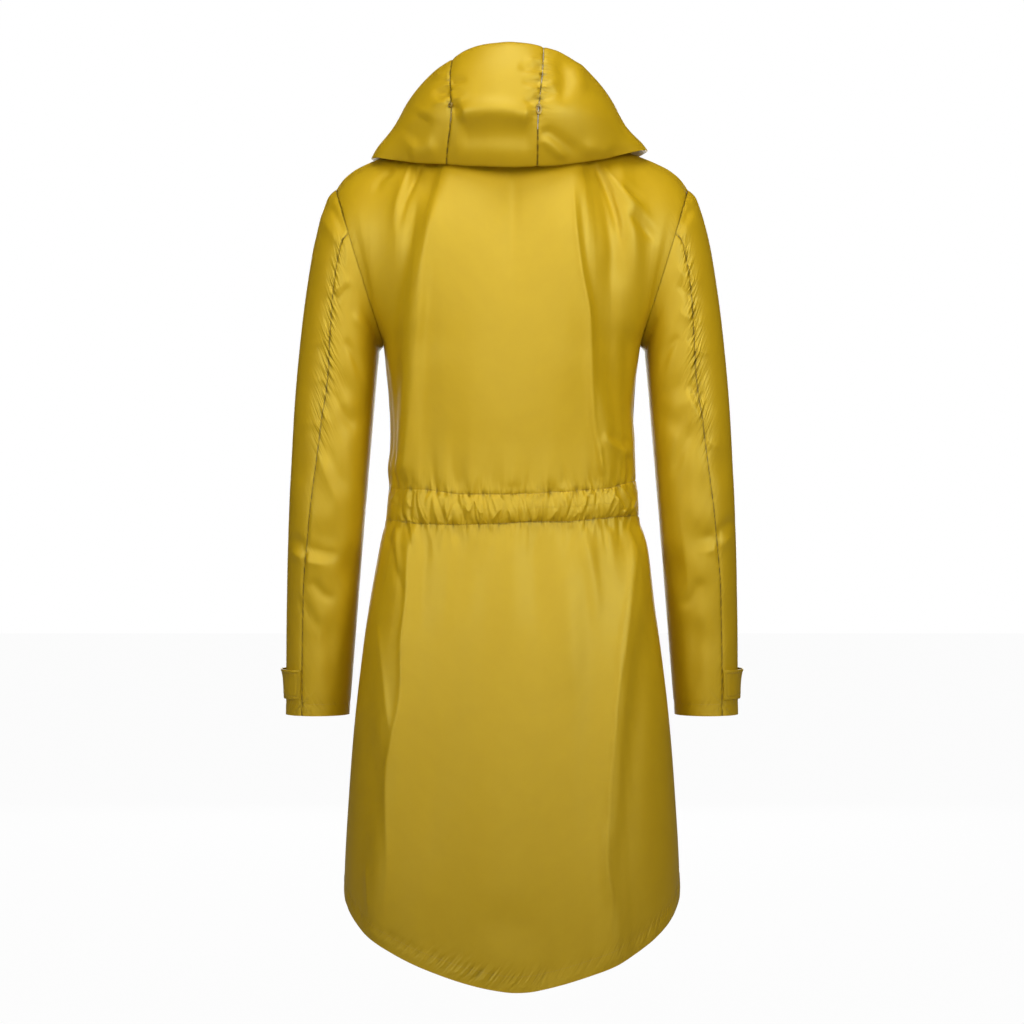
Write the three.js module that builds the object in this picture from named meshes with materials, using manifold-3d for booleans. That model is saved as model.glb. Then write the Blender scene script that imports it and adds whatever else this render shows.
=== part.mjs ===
import * as THREE from "three";
import { mergeVertices } from "three/addons/utils/BufferGeometryUtils.js";
import Module from "manifold-3d";

// A long hooded windbreaker in light coated nylon, filled out as worn, with its hood down.
// Millimetres. The back faces +Y, the front faces -Y, +Z is up and the wearer's left is at +X.
// The origin lies midway between the two side neck points, where the shoulders carry it.

// Cloth and seams.
const WALL = 1.8;
const WALL_MOST_EXTRA = 1.2;
const SEAM_GAP = 0.3;
const HEM_DEPTH = 18;

// Body: the drop of each level is measured down from the side neck points.
const SIDE_ANGLE = 98;
const SECTION_POWER = 2.3;
const UNDERARM_DROP = 250;
const HEM_BACK_DROP = 985.5;
const HEM_LOWEST_ANGLE = -1.5;
const HEM_SIDE_RISE = 108;
const HEM_FRONT_DIP = 44;
const HEM_CURVE_POWER = 1.28;

const SECTIONS = [
  { drop: 240, halfWidth: 151.5, back: 112, front: 140 },
  { drop: 265, halfWidth: 149.5, back: 110.5, front: 139.5 },
  { drop: 290, halfWidth: 147, back: 108, front: 138 },
  { drop: 340, halfWidth: 144, back: 102, front: 128 },
  { drop: 361, halfWidth: 143.5, back: 99, front: 124 },
  { drop: 400, halfWidth: 144.5, back: 95, front: 118 },
  { drop: 439, halfWidth: 146, back: 92, front: 114 },
  { drop: 458, halfWidth: 147.5, back: 93, front: 114 },
  { drop: 477, halfWidth: 152.5, back: 97, front: 116 },
  { drop: 501, halfWidth: 157.5, back: 102, front: 118 },
  { drop: 547, halfWidth: 165.5, back: 110, front: 121 },
  { drop: 594, halfWidth: 172.6, back: 117, front: 125 },
  { drop: 688, halfWidth: 183.7, back: 127, front: 132 },
  { drop: 782, halfWidth: 191, back: 135, front: 138 },
  { drop: 875, halfWidth: 196, back: 141, front: 144 },
  { drop: 1000, halfWidth: 198, back: 145, front: 148 },
];

// Neck, shoulders and armholes.
const NAPE = new THREE.Vector3(0, 62, -20);
const SIDE_NECK = new THREE.Vector3(74, 0, 0);
const FRONT_NECK = new THREE.Vector3(0, -88, -80);
const SHOULDER_TIP = new THREE.Vector3(206, -5, -67);
const NECK_SHARE = 0.4;
const SHOULDER_STRAIGHT = 0.75;
const SHOULDER_ROUNDING = 10;

// Pull of each upright line of cloth at its foot and its head, from the centre (0) to the armhole (1).
const BACK_PULLS = [
  { across: 0, footX: 0, footY: 4, footZ: 85, headX: 0, headY: 38, headZ: -58 },
  { across: 0.4, footX: -2, footY: 17, footZ: 85, headX: 12, headY: 104, headZ: -28 },
  { across: 0.6, footX: 1, footY: 32, footZ: 75, headX: 4, headY: 100, headZ: -26 },
  { across: 0.8, footX: 2, footY: 55, footZ: 45, headX: -2, headY: 92, headZ: -22 },
  { across: 1, footX: 3, footY: 95, footZ: 10, headX: -6, headY: 88, headZ: -20 },
];
const FRONT_PULLS = [
  { across: 0, footX: 0, footY: -2, footZ: 70, headX: 0, headY: -22, headZ: -32 },
  { across: 0.4, footX: -2, footY: -10, footZ: 80, headX: 18, headY: -82, headZ: -34 },
  { across: 0.6, footX: 0, footY: -18, footZ: 75, headX: 5, headY: -86, headZ: -32 },
  { across: 0.8, footX: 2, footY: -40, footZ: 45, headX: -3, headY: -84, headZ: -25 },
  { across: 1, footX: 3, footY: -80, footZ: 10, headX: -6, headY: -78, headZ: -20 },
];

// Waist casing, gathered on its elastic.
const CASING_TOP_DROP = 421;
const CASING_BOTTOM_DROP = 457;
const CASING_GATHERS = 38;
const CASING_BULGE = 4.5;
const CASING_LIFT = 0.9;
const GATHER_DEPTH = 1.7;
const GATHER_SLANT = 0.9;
const RIPPLES = 13;
const RIPPLE_DEPTH = 2.2;
const RIPPLE_REACH = 34;

// Long soft folds of the body: x and drop (At) of each at its top, its middle and its bottom.
const FOLDS = [
  { side: 1, topX: 84, topAt: 70, midX: 110, midAt: 230, endX: 122, endAt: 415, width: 15, depth: 6 },
  { side: 1, topX: 104, topAt: 60, midX: 138, midAt: 230, endX: 140, endAt: 410, width: 17, depth: -6 },
  { side: 1, topX: -80, topAt: 70, midX: -86, midAt: 230, endX: -114, endAt: 415, width: 15, depth: 5 },
  { side: 1, topX: -100, topAt: 50, midX: -116, midAt: 150, endX: -122, endAt: 330, width: 15, depth: -7 },
  { side: 1, topX: 118, topAt: 60, midX: 124, midAt: 110, endX: 128, endAt: 170, width: 12, depth: 5 },
  { side: 1, topX: -122, topAt: 50, midX: -134, midAt: 100, endX: -140, endAt: 160, width: 12, depth: 6 },
  { side: 1, topX: 122, topAt: 465, midX: 131, midAt: 656, endX: 155, endAt: 930, width: 17, depth: 6 },
  { side: 1, topX: 150, topAt: 560, midX: 152, midAt: 640, endX: 145, endAt: 710, width: 14, depth: 4 },
  { side: 1, topX: -148, topAt: 465, midX: -122, midAt: 700, endX: -112, endAt: 975, width: 17, depth: 7 },
  { side: 1, topX: -40, topAt: 470, midX: -46, midAt: 700, endX: -52, endAt: 990, width: 30, depth: -4 },
  { side: 1, topX: 60, topAt: 470, midX: 70, midAt: 700, endX: 78, endAt: 980, width: 32, depth: -4 },
  { side: -1, topX: 70, topAt: 150, midX: 82, midAt: 260, endX: 96, endAt: 410, width: 20, depth: -5 },
  { side: -1, topX: -64, topAt: 160, midX: -84, midAt: 270, endX: -92, endAt: 410, width: 20, depth: -5 },
  { side: -1, topX: 92, topAt: 470, midX: 104, midAt: 690, endX: 118, endAt: 920, width: 22, depth: 7 },
  { side: -1, topX: -84, topAt: 470, midX: -98, midAt: 690, endX: -112, endAt: 930, width: 22, depth: 6 },
  { side: -1, topX: 50, topAt: 480, midX: 58, midAt: 700, endX: 64, endAt: 930, width: 20, depth: -5 },
  { side: -1, topX: -46, topAt: 480, midX: -50, midAt: 690, endX: -56, endAt: 930, width: 20, depth: -5 },
];
const FOLD_FADE = 45;

// Sleeves, two pieces each, from the armhole to the cuff.
const SLEEVE_END_DROP = 683;
const SLEEVE_LEVEL_DROP = 361;
const SLEEVE_CENTRE_Y = -9;
const CUFF_FORWARD = 28;
const FRONT_SEAM_TURN = -110;
const SLEEVE_OUTER = [
  { drop: 67, x: 206 },
  { drop: 70, x: 211 },
  { drop: 80, x: 217 },
  { drop: 103, x: 225 },
  { drop: 126, x: 231 },
  { drop: 150, x: 235.5 },
  { drop: 197, x: 242.5 },
  { drop: 243, x: 248 },
  { drop: 314, x: 254.5 },
  { drop: 431, x: 261 },
  { drop: 548, x: 265 },
  { drop: 683, x: 267 },
];
const SLEEVE_INNER = [
  { drop: 240, x: 153 },
  { drop: 256, x: 155.2 },
  { drop: 275, x: 157.2 },
  { drop: 314, x: 160.5 },
  { drop: 431, x: 170.5 },
  { drop: 548, x: 180.5 },
  { drop: 683, x: 192 },
];
const SLEEVE_DEPTHS = [
  { drop: 158, halfDepth: 63 },
  { drop: 230, halfDepth: 59 },
  { drop: 330, halfDepth: 55 },
  { drop: 480, halfDepth: 51 },
  { drop: 683, halfDepth: 46 },
];
const BACK_SEAM_TURNS = [
  { drop: 158, turn: 61 },
  { drop: 215, turn: 72 },
  { drop: 292, turn: 80 },
  { drop: 361, turn: 74 },
  { drop: 471, turn: 64 },
  { drop: 555, turn: 60 },
  { drop: 683, turn: 64 },
];
const SLEEVE_FOLDS = [
  { drop: 300, turn: 95, slope: 0.35, width: 14, depth: -3.5, spread: 42 },
  { drop: 345, turn: 110, slope: -0.4, width: 13, depth: -3, spread: 38 },
  { drop: 400, turn: 60, slope: 0.5, width: 14, depth: -3, spread: 34 },
  { drop: 486, turn: 105, slope: 0.45, width: 13, depth: -4, spread: 44 },
  { drop: 520, turn: 125, slope: -0.35, width: 13, depth: -3.5, spread: 40 },
  { drop: 585, turn: 80, slope: 0.3, width: 15, depth: -2.5, spread: 36 },
  { drop: 360, turn: -90, slope: 0.4, width: 15, depth: -4, spread: 45 },
  { drop: 425, turn: -80, slope: -0.4, width: 15, depth: -4.5, spread: 48 },
  { drop: 480, turn: -95, slope: 0.35, width: 14, depth: -4, spread: 45 },
  { drop: 560, turn: -70, slope: -0.3, width: 15, depth: -3, spread: 40 },
];

// Cuff tabs, sewn into the back seam of each sleeve and lying round to its front.
const TAB_TOP_DROP = 629;
const TAB_BOTTOM_DROP = 664;
const TAB_START_TURN = 61;
const TAB_END_TURN = -64;
const TAB_THICKNESS = 1.6;
const TAB_LIFT = 1.4;
const TAB_SEWN_LIFT = 0.35;
const TAB_GAPE = 2.6;

// Hood, laid down: each profile runs from the neck seam out to the fold, up to the rim and back in.
const HOOD_AXIS_Y = -5;
const HOOD_FRONT_ANGLE = 173;
const HOOD_STAND = 11;
const HOOD_RIGHT_SHRINK = 0.018;
const HOOD_RIGHT_LIFT = 4.5;
const HOOD_CROWN = 2.5;
const HOOD_PROFILES = [
  { turn: 0, foldR: 107, foldZ: -53, bellyR: 132, bellyZ: 14, rimR: 96, rimZ: 90, hemR: 68, hemZ: 44 },
  { turn: 30, foldR: 113, foldZ: -50, bellyR: 136, bellyZ: 13, rimR: 95, rimZ: 84.5, hemR: 67, hemZ: 40 },
  { turn: 60, foldR: 136, foldZ: -43, bellyR: 138, bellyZ: 8, rimR: 102, rimZ: 61, hemR: 76, hemZ: 24 },
  { turn: 80, foldR: 163, foldZ: -33, bellyR: 138, bellyZ: 2, rimR: 113, rimZ: 37, hemR: 88, hemZ: 8 },
  { turn: 100, foldR: 157, foldZ: -34.5, bellyR: 133, bellyZ: -4, rimR: 111, rimZ: 24, hemR: 86, hemZ: 0 },
  { turn: 125, foldR: 130, foldZ: -52, bellyR: 126, bellyZ: -24, rimR: 103, rimZ: 2, hemR: 84, hemZ: -18 },
  { turn: 150, foldR: 114, foldZ: -74, bellyR: 117, bellyZ: -52, rimR: 101, rimZ: -27, hemR: 87, hemZ: -42 },
  { turn: 180, foldR: 101, foldZ: -86, bellyR: 107, bellyZ: -68, rimR: 99, rimZ: -45, hemR: 89, hemZ: -56 },
];
const HOOD_SEAMS = [
  { along: 0, left: 38, right: -19 },
  { along: 2, left: 39, right: -15.5 },
  { along: 3, left: 31, right: -13.5 },
  { along: 4, left: 44, right: -23 },
  { along: 5, left: 50, right: -30 },
];
const HOOD_ROWS = [0, 0.5, 1, 1.5, 1.8, 2, 2.15, 2.45, 2.75, 3, 3.25, 3.5, 3.8, 3.95, 4.1, 4.35, 4.7, 5];

// Eyelets on the two hood seams.
const EYELET_RADIUS = 3.2;
const EYELET_HOLE = 1.4;
const EYELET_THICKNESS = 1;
const EYELET_LIFT = 0.35;
const EYELET_FLAT = 22;
const EYELETS = [
  { name: "hood_eyelet_left", seam: "left", along: 3.05, stretch: 1 },
  { name: "hood_eyelet_right", seam: "right", along: 2.95, stretch: 2 },
];

// Front zip.
const ZIP_HALF_OPENING = 9;
const ZIP_TEETH_HALF = 2.2;
const ZIP_TAPE_THICKNESS = 1.2;
const ZIP_TEETH_THICKNESS = 2.6;
const ZIP_FOOT_MARGIN = 6;
const ZIP_TOP_SHARE = 0.99;
const SLIDER_DROP = 112;
const SLIDER_CLEARANCE = 0.2;
const SLIDER_LENGTH = 11;
const SLIDER_WIDTH = 8.4;
const SLIDER_HEIGHT = 1.6;
const BAIL_WIDTH = 3;
const BAIL_LENGTH = 6;
const BAIL_HEIGHT = 3.7;
const BAIL_WALL = 1;
const PULL_LENGTH = 24;
const PULL_WIDTH = 7.4;
const PULL_BAR = 1.3;
const PULL_AXIS_HEIGHT = 1.3;
const PULL_EYE_LENGTH = 3.9;
const PULL_EYE_WIDTH = 4;

const COLOURS = { cloth: 0xc7a22c, shade: 0xb48f22, tape: 0xa8841c, metal: 0xb9b4a6 };

const radians = THREE.MathUtils.degToRad;
const mix = THREE.MathUtils.lerp;
const smooth = THREE.MathUtils.smoothstep;

// A smooth curve through two columns of a table whose first column rises.
function curveOf(rows, at, value) {
  const places = rows.map((row) => row[at]);
  const values = rows.map((row) => row[value]);
  const last = places.length - 1;
  const slopes = places.map((place, i) => {
    const before = Math.max(i - 1, 0);
    const after = Math.min(i + 1, last);
    return (values[after] - values[before]) / (places[after] - places[before]);
  });
  return (place) => {
    const held = THREE.MathUtils.clamp(place, places[0], places[last]);
    let k = 0;
    while (k < last - 1 && held > places[k + 1]) k += 1;
    const span = places[k + 1] - places[k];
    const u = (held - places[k]) / span;
    const startPart = (1 + 2 * u) * (1 - u) ** 2 * values[k] + u * (1 - u) ** 2 * span * slopes[k];
    const endPart = u * u * (3 - 2 * u) * values[k + 1] - u * u * (1 - u) * span * slopes[k + 1];
    return startPart + endPart;
  };
}

// The unit normal of a surface, from its own two directions; it points out where dU x dV does.
function surfaceNormal(pointAt, u, v, stepU, stepV) {
  const alongU = pointAt(u + stepU, v).sub(pointAt(u - stepU, v));
  const alongV = pointAt(u, v + stepV).sub(pointAt(u, v - stepV));
  return alongU.cross(alongV).normalize();
}

// A closed body from an outer and an inner skin of points, each in rows of equal length.
// With a step of 2 the inner skin keeps every second point, pushed in where the cloth is hollow.
function wallGeometry(outer, normals, depthAt, step = 1) {
  const rows = outer.length;
  const columns = outer[0].length;
  const positions = [];
  const indices = [];
  outer.forEach((row) => row.forEach((p) => positions.push(p.x, p.y, p.z)));
  const outerAt = (j, i) => j * columns + i;
  const innerAt = new Map();
  for (let j = 0; j < rows; j += step) {
    for (let i = 0; i < columns; i += step) {
      const sag = step > 1 ? hollowDepth(outer, normals, j, i) : 0;
      const p = outer[j][i].clone().addScaledVector(normals[j][i], -(depthAt(j, i) + sag));
      innerAt.set(outerAt(j, i), positions.length / 3);
      positions.push(p.x, p.y, p.z);
    }
  }
  const inner = (j, i) => innerAt.get(outerAt(j, i));
  const quad = (a, b, c, d) => indices.push(a, b, c, a, c, d);
  for (let j = 0; j < rows - 1; j += 1) {
    for (let i = 0; i < columns - 1; i += 1) {
      quad(outerAt(j, i), outerAt(j + 1, i), outerAt(j + 1, i + 1), outerAt(j, i + 1));
    }
  }
  for (let j = 0; j < rows - 1; j += step) {
    for (let i = 0; i < columns - 1; i += step) {
      quad(inner(j, i), inner(j, i + step), inner(j + step, i + step), inner(j + step, i));
    }
  }
  const rim = (places) => {
    for (let k = 0; k < places.length - step; k += step) {
      const start = places[k];
      const end = places[k + step];
      const middle = places[k + Math.floor(step / 2)];
      if (step > 1) indices.push(outerAt(...start), outerAt(...middle), inner(...start));
      const from = step > 1 ? middle : start;
      indices.push(outerAt(...from), inner(...end), inner(...start));
      indices.push(outerAt(...from), outerAt(...end), inner(...end));
    }
  };
  const top = [];
  const bottom = [];
  const left = [];
  const right = [];
  for (let i = 0; i < columns; i += 1) {
    top.push([0, i]);
    bottom.push([rows - 1, columns - 1 - i]);
  }
  for (let j = 0; j < rows; j += 1) {
    left.push([rows - 1 - j, 0]);
    right.push([j, columns - 1]);
  }
  [top, right, bottom, left].forEach(rim);
  const geometry = new THREE.BufferGeometry();
  geometry.setAttribute("position", new THREE.Float32BufferAttribute(positions, 3));
  geometry.setIndex(indices);
  return geometry;
}

// How far the chords round one kept point stand outside the skipped points beside it.
function hollowDepth(outer, normals, j, i) {
  let deepest = 0;
  for (const [dj, di] of [[0, 1], [1, 0], [0, -1], [-1, 0], [1, 1], [-1, -1], [1, -1], [-1, 1]]) {
    const far = outer[j + 2 * dj]?.[i + 2 * di];
    const near = outer[j + dj]?.[i + di];
    if (!far || !near) continue;
    const chord = outer[j][i].clone().add(far).multiplyScalar(0.5);
    deepest = Math.max(deepest, chord.sub(near).dot(normals[j + dj][i + di]));
  }
  return Math.min(deepest, WALL_MOST_EXTRA);
}

// Turns a wall's faces over where its rows and columns run the other way round.
function facingOut(geometry) {
  const p = geometry.getAttribute("position");
  if (!geometry.getIndex()) geometry.setIndex(Array.from({ length: p.count }, (_, k) => k));
  const index = geometry.getIndex();
  const [a, b, c] = [new THREE.Vector3(), new THREE.Vector3(), new THREE.Vector3()];
  let volume = 0;
  for (let k = 0; k < index.count; k += 3) {
    a.fromBufferAttribute(p, index.getX(k));
    b.fromBufferAttribute(p, index.getX(k + 1));
    c.fromBufferAttribute(p, index.getX(k + 2));
    volume += a.dot(b.cross(c));
  }
  if (volume < 0) {
    for (let k = 0; k < index.count; k += 3) {
      const held = index.getX(k);
      index.setX(k, index.getX(k + 1));
      index.setX(k + 1, held);
    }
  }
  geometry.computeVertexNormals();
  return geometry;
}

const wasm = await Module();
wasm.setup();
const garment = new THREE.Group();

function addPiece(name, geometry, colour, roughness = 0.35, metalness = 0) {
  const material = new THREE.MeshStandardMaterial({ color: colour, roughness, metalness });
  const mesh = new THREE.Mesh(facingOut(geometry), material);
  mesh.name = name;
  garment.add(mesh);
  return mesh;
}

// Body below the underarm: a round section at each level, with its folds raised on it.
const halfWidthAt = curveOf(SECTIONS, "drop", "halfWidth");
const backDepthAt = curveOf(SECTIONS, "drop", "back");
const frontDepthAt = curveOf(SECTIONS, "drop", "front");

function plainBody(angle, drop) {
  const sine = Math.sin(radians(angle));
  const cosine = Math.cos(radians(angle));
  const depth = cosine > 0 ? backDepthAt(drop) : frontDepthAt(drop);
  const x = halfWidthAt(drop) * Math.sign(sine) * Math.abs(sine) ** (2 / SECTION_POWER);
  const y = depth * Math.sign(cosine) * Math.abs(cosine) ** (2 / SECTION_POWER);
  return new THREE.Vector3(x, y, -drop);
}

// Height of all the long folds at one place of the back (side 1) or of the front (side -1).
function foldHeight(side, x, drop) {
  let height = 0;
  for (const fold of FOLDS) {
    if (fold.side !== side) continue;
    const upper = drop < fold.midAt;
    const start = upper ? fold.topAt : fold.midAt;
    const end = upper ? fold.midAt : fold.endAt;
    const share = THREE.MathUtils.clamp((drop - start) / (end - start), 0, 1);
    const path = upper ? mix(fold.topX, fold.midX, share) : mix(fold.midX, fold.endX, share);
    const fade = smooth(drop, fold.topAt - FOLD_FADE, fold.topAt + FOLD_FADE)
      * (1 - smooth(drop, fold.endAt - FOLD_FADE, fold.endAt + FOLD_FADE));
    height += fold.depth * fade * Math.exp(-(((x - path) / fold.width) ** 2));
  }
  return height;
}

// Gathers that run on above and below the waist casing and fade out.
function rippleHeight(angle, drop) {
  const beyond = Math.max(CASING_TOP_DROP - drop, drop - CASING_BOTTOM_DROP, 0);
  const strength = smooth(beyond, 0, 10) * Math.exp(-beyond / RIPPLE_REACH);
  const turns = (angle / SIDE_ANGLE) * RIPPLES;
  const uneven = 0.75 + 0.25 * Math.sin(2.3 * turns + 1);
  return RIPPLE_DEPTH * strength * uneven * Math.cos(Math.PI * turns);
}

function bodyPoint(angle, drop) {
  const p = plainBody(angle, drop);
  const side = Math.abs(angle) < SIDE_ANGLE ? 1 : -1;
  const seamFade = smooth(Math.abs(Math.abs(angle) - SIDE_ANGLE), 0, 14);
  const outward = surfaceNormal(plainBody, angle, drop, 0.5, 1);
  const gathers = side > 0 ? rippleHeight(angle, drop) : 0;
  const edgeFade = side > 0 ? 1 : smooth(180 - Math.abs(angle), 5, 16);
  return p.addScaledVector(outward, (foldHeight(side, p.x, drop) * edgeFade + gathers) * seamFade);
}

// Drop of the hem at each angle: lowest at the centre back, highest at the side seams.
function hemDrop(angle) {
  const turned = Math.abs(angle);
  const fromLowest = Math.abs(angle - HEM_LOWEST_ANGLE * Math.cos(radians(angle)));
  const rise = HEM_SIDE_RISE * (Math.min(fromLowest, SIDE_ANGLE) / 90) ** HEM_CURVE_POWER;
  return HEM_BACK_DROP - rise + HEM_FRONT_DIP * smooth(turned, SIDE_ANGLE - 2, 178);
}

// Body above the underarm: each upright line is a cubic from the underarm level to the top edge.
function neckPoint(across, end) {
  const turn = (across / NECK_SHARE) * (Math.PI / 2);
  const rise = end === NAPE ? Math.cos(turn) ** 2 : Math.cos(turn) ** 1.2;
  return new THREE.Vector3(SIDE_NECK.x * Math.sin(turn), end.y * Math.cos(turn), end.z * rise);
}

// The shoulder falls straight from the neck and rounds over at its tip.
function shoulderFall(share) {
  return SHOULDER_STRAIGHT * share + (1 - SHOULDER_STRAIGHT) * share ** SHOULDER_ROUNDING;
}

function topEdge(across, end) {
  if (across <= NECK_SHARE) return neckPoint(Math.min(across, NECK_SHARE - 1e-9), end);
  const share = (across - NECK_SHARE) / (1 - NECK_SHARE);
  const p = SIDE_NECK.clone().lerp(SHOULDER_TIP, share);
  p.z = SHOULDER_TIP.z * shoulderFall(share);
  return p;
}

function shoulderNormal(across) {
  const share = Math.max((across - NECK_SHARE) / (1 - NECK_SHARE), 0);
  const run = SHOULDER_TIP.x - SIDE_NECK.x;
  const fall = (shoulderFall(share + 0.01) - shoulderFall(share - 0.01)) / 0.02;
  const slope = (SHOULDER_TIP.z * fall) / run;
  return new THREE.Vector3(-slope, 0, 1).normalize();
}

function pullCurves(rows) {
  const keys = ["footX", "footY", "footZ", "headX", "headY", "headZ"];
  return Object.fromEntries(keys.map((key) => [key, curveOf(rows, "across", key)]));
}

const backPulls = pullCurves(BACK_PULLS);
const frontPulls = pullCurves(FRONT_PULLS);

// side is 1 for the back and -1 for the front, across runs from -1 to 1 and up from 0 to 1.
function plainUpper(side, across, up) {
  const share = Math.min(Math.abs(across), 1);
  const pulls = side > 0 ? backPulls : frontPulls;
  const angle = side > 0 ? share * SIDE_ANGLE : 180 - share * (180 - SIDE_ANGLE);
  const foot = plainBody(angle, UNDERARM_DROP);
  const head = topEdge(share, side > 0 ? NAPE : FRONT_NECK);
  const footPull = new THREE.Vector3(pulls.footX(share), pulls.footY(share), pulls.footZ(share));
  const headPull = new THREE.Vector3(pulls.headX(share), pulls.headY(share), pulls.headZ(share));
  const line = new THREE.CubicBezierCurve3(foot, footPull.add(foot), headPull.add(head), head);
  const p = line.getPoint(up);
  if (across < 0) p.x = -p.x;
  return p;
}

function upperPoint(side, across, up) {
  const p = plainUpper(side, across, up);
  const inner = (u, v) => plainUpper(side, u, v);
  const held = THREE.MathUtils.clamp(across, -0.995, 0.995);
  const outward = surfaceNormal(inner, held, THREE.MathUtils.clamp(up, 0.01, 0.97), 0.004, 0.01);
  if (outward.y * side < 0) outward.negate();
  const fade = (1 - smooth(up, 0.82, 1)) * (1 - smooth(Math.abs(across), 0.9, 1));
  const edgeFade = side > 0 ? 1 : smooth(Math.abs(p.x), 10, 30);
  return p.addScaledVector(outward, foldHeight(side, p.x, -p.z) * fade * edgeFade);
}

// Armhole loop: turn 0 at the shoulder tip, 90 at the back, 180 at the underarm, -90 at the front.
function armholePoint(turn) {
  const around = ((turn % 360) + 360) % 360;
  if (around <= 180) return plainUpper(1, 1, 1 - around / 180);
  return plainUpper(-1, 1, (around - 180) / 180);
}

const ARMHOLE_CENTRE = SHOULDER_TIP.clone().add(armholePoint(180)).multiplyScalar(0.5);
const ARMHOLE_AXIS = SHOULDER_TIP.clone()
  .sub(armholePoint(180))
  .cross(new THREE.Vector3(0, 1, 0))
  .normalize();
if (ARMHOLE_AXIS.x < 0) ARMHOLE_AXIS.negate();

// Direction out of the loop at one of its points: both cloths are cut to it at the seam.
function armholeRadial(point) {
  const radial = point.clone().sub(ARMHOLE_CENTRE);
  return radial.addScaledVector(ARMHOLE_AXIS, -radial.dot(ARMHOLE_AXIS)).normalize();
}

const UPPER_ROWS = 10;
const WAIST_DROPS = [278, 308, 338, 366, 390, 408, 420, 439, 458, 470, 486, 508];
const SKIRT_ROWS = 10;

// Shoulder parts are cut at shares of their upright lines, the rest at a drop for each angle.
const UPPER_LEVELS = Array.from({ length: UPPER_ROWS }, (_, j) => 1 - j / UPPER_ROWS);
const LOWER_LEVELS = [
  () => UNDERARM_DROP,
  ...WAIST_DROPS.map((drop) => () => drop),
  ...Array.from({ length: SKIRT_ROWS - 1 }, (_, j) => (angle) => {
    const share = (j + 1) / (SKIRT_ROWS - 1);
    return mix(WAIST_DROPS.at(-1), hemDrop(angle) - HEM_DEPTH, share);
  }),
  hemDrop,
];

function bodyNormal(angle, drop) {
  return surfaceNormal(bodyPoint, angle, drop, 0.5, 1);
}

// Panels stop half a seam gap short of the side seam.
function sideSeamPoint(side, angle, drop) {
  const p = bodyPoint(angle, drop);
  if (Math.abs(Math.abs(angle) - SIDE_ANGLE) > 0.01) return p;
  p.y += side * (SEAM_GAP / 2);
  if (drop === UNDERARM_DROP) p.x -= Math.sign(angle) * (SEAM_GAP / 2);
  return p;
}

function upperNormal(side, across, up) {
  const share = Math.abs(across);
  if (share > 0.999) {
    const radial = armholeRadial(plainUpper(side, 1, up));
    if (across < 0) radial.x = -radial.x;
    return radial;
  }
  if (up > 0.999) {
    const onNeck = share < NECK_SHARE - 0.001;
    const normal = onNeck ? neckOutward(plainUpper(side, share, 1)) : shoulderNormal(share);
    if (across < 0) normal.x = -normal.x;
    return normal;
  }
  const pointAt = (u, v) => upperPoint(side, u, v);
  const held = THREE.MathUtils.clamp(across, -0.99, 0.99);
  const normal = surfaceNormal(pointAt, held, Math.min(up, 0.98), 0.006, 0.015);
  if (normal.y * side < 0) normal.negate();
  return normal;
}

function planAngle(point) {
  return THREE.MathUtils.radToDeg(Math.atan2(point.x, point.y - HOOD_AXIS_Y));
}

function neckOutward(point) {
  return new THREE.Vector3(point.x, point.y - HOOD_AXIS_Y, 0).normalize();
}

// Upper panels stop half a gap short of the armhole, shoulder and neck seams.
function upperEdgePoint(side, across, up) {
  const p = upperPoint(side, across, up);
  const share = Math.abs(across);
  if (share > 0.999) {
    const axis = ARMHOLE_AXIS.clone();
    if (across < 0) axis.x = -axis.x;
    p.addScaledVector(axis, -SEAM_GAP / 2);
  }
  if (up > 0.999 && share > NECK_SHARE - 0.001) p.y += side * (SEAM_GAP / 2);
  return p;
}

const BACK_COLUMNS = 48;
const FRONT_COLUMNS = 12;

function backGridOf() {
  const shares = Array.from({ length: BACK_COLUMNS + 1 }, (_, i) => (2 * i) / BACK_COLUMNS - 1);
  const angles = shares.map((across) => across * SIDE_ANGLE);
  const outer = UPPER_LEVELS.map((up) => shares.map((across) => upperEdgePoint(1, across, up)));
  const normals = UPPER_LEVELS.map((up) => shares.map((across) => upperNormal(1, across, up)));
  for (const dropAt of LOWER_LEVELS) {
    outer.push(angles.map((angle) => sideSeamPoint(1, angle, dropAt(angle))));
    normals.push(angles.map((angle) => bodyNormal(angle, dropAt(angle))));
  }
  return { outer, normals };
}

const backGrid = backGridOf();
addPiece("back", wallGeometry(backGrid.outer, backGrid.normals, () => WALL, 2), COLOURS.cloth);

// Share of the way from the centre front to the side at which the front lies x away from its centre.
function frontShareAt(x, up, drop) {
  const pointAt = (share) => (drop === undefined
    ? plainUpper(-1, share, up)
    : plainBody(180 - share * (180 - SIDE_ANGLE), drop));
  let low = 0;
  let high = 0.5;
  for (let k = 0; k < 30; k += 1) {
    const middle = (low + high) / 2;
    if (pointAt(middle).x < x) low = middle;
    else high = middle;
  }
  return (low + high) / 2;
}

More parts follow.
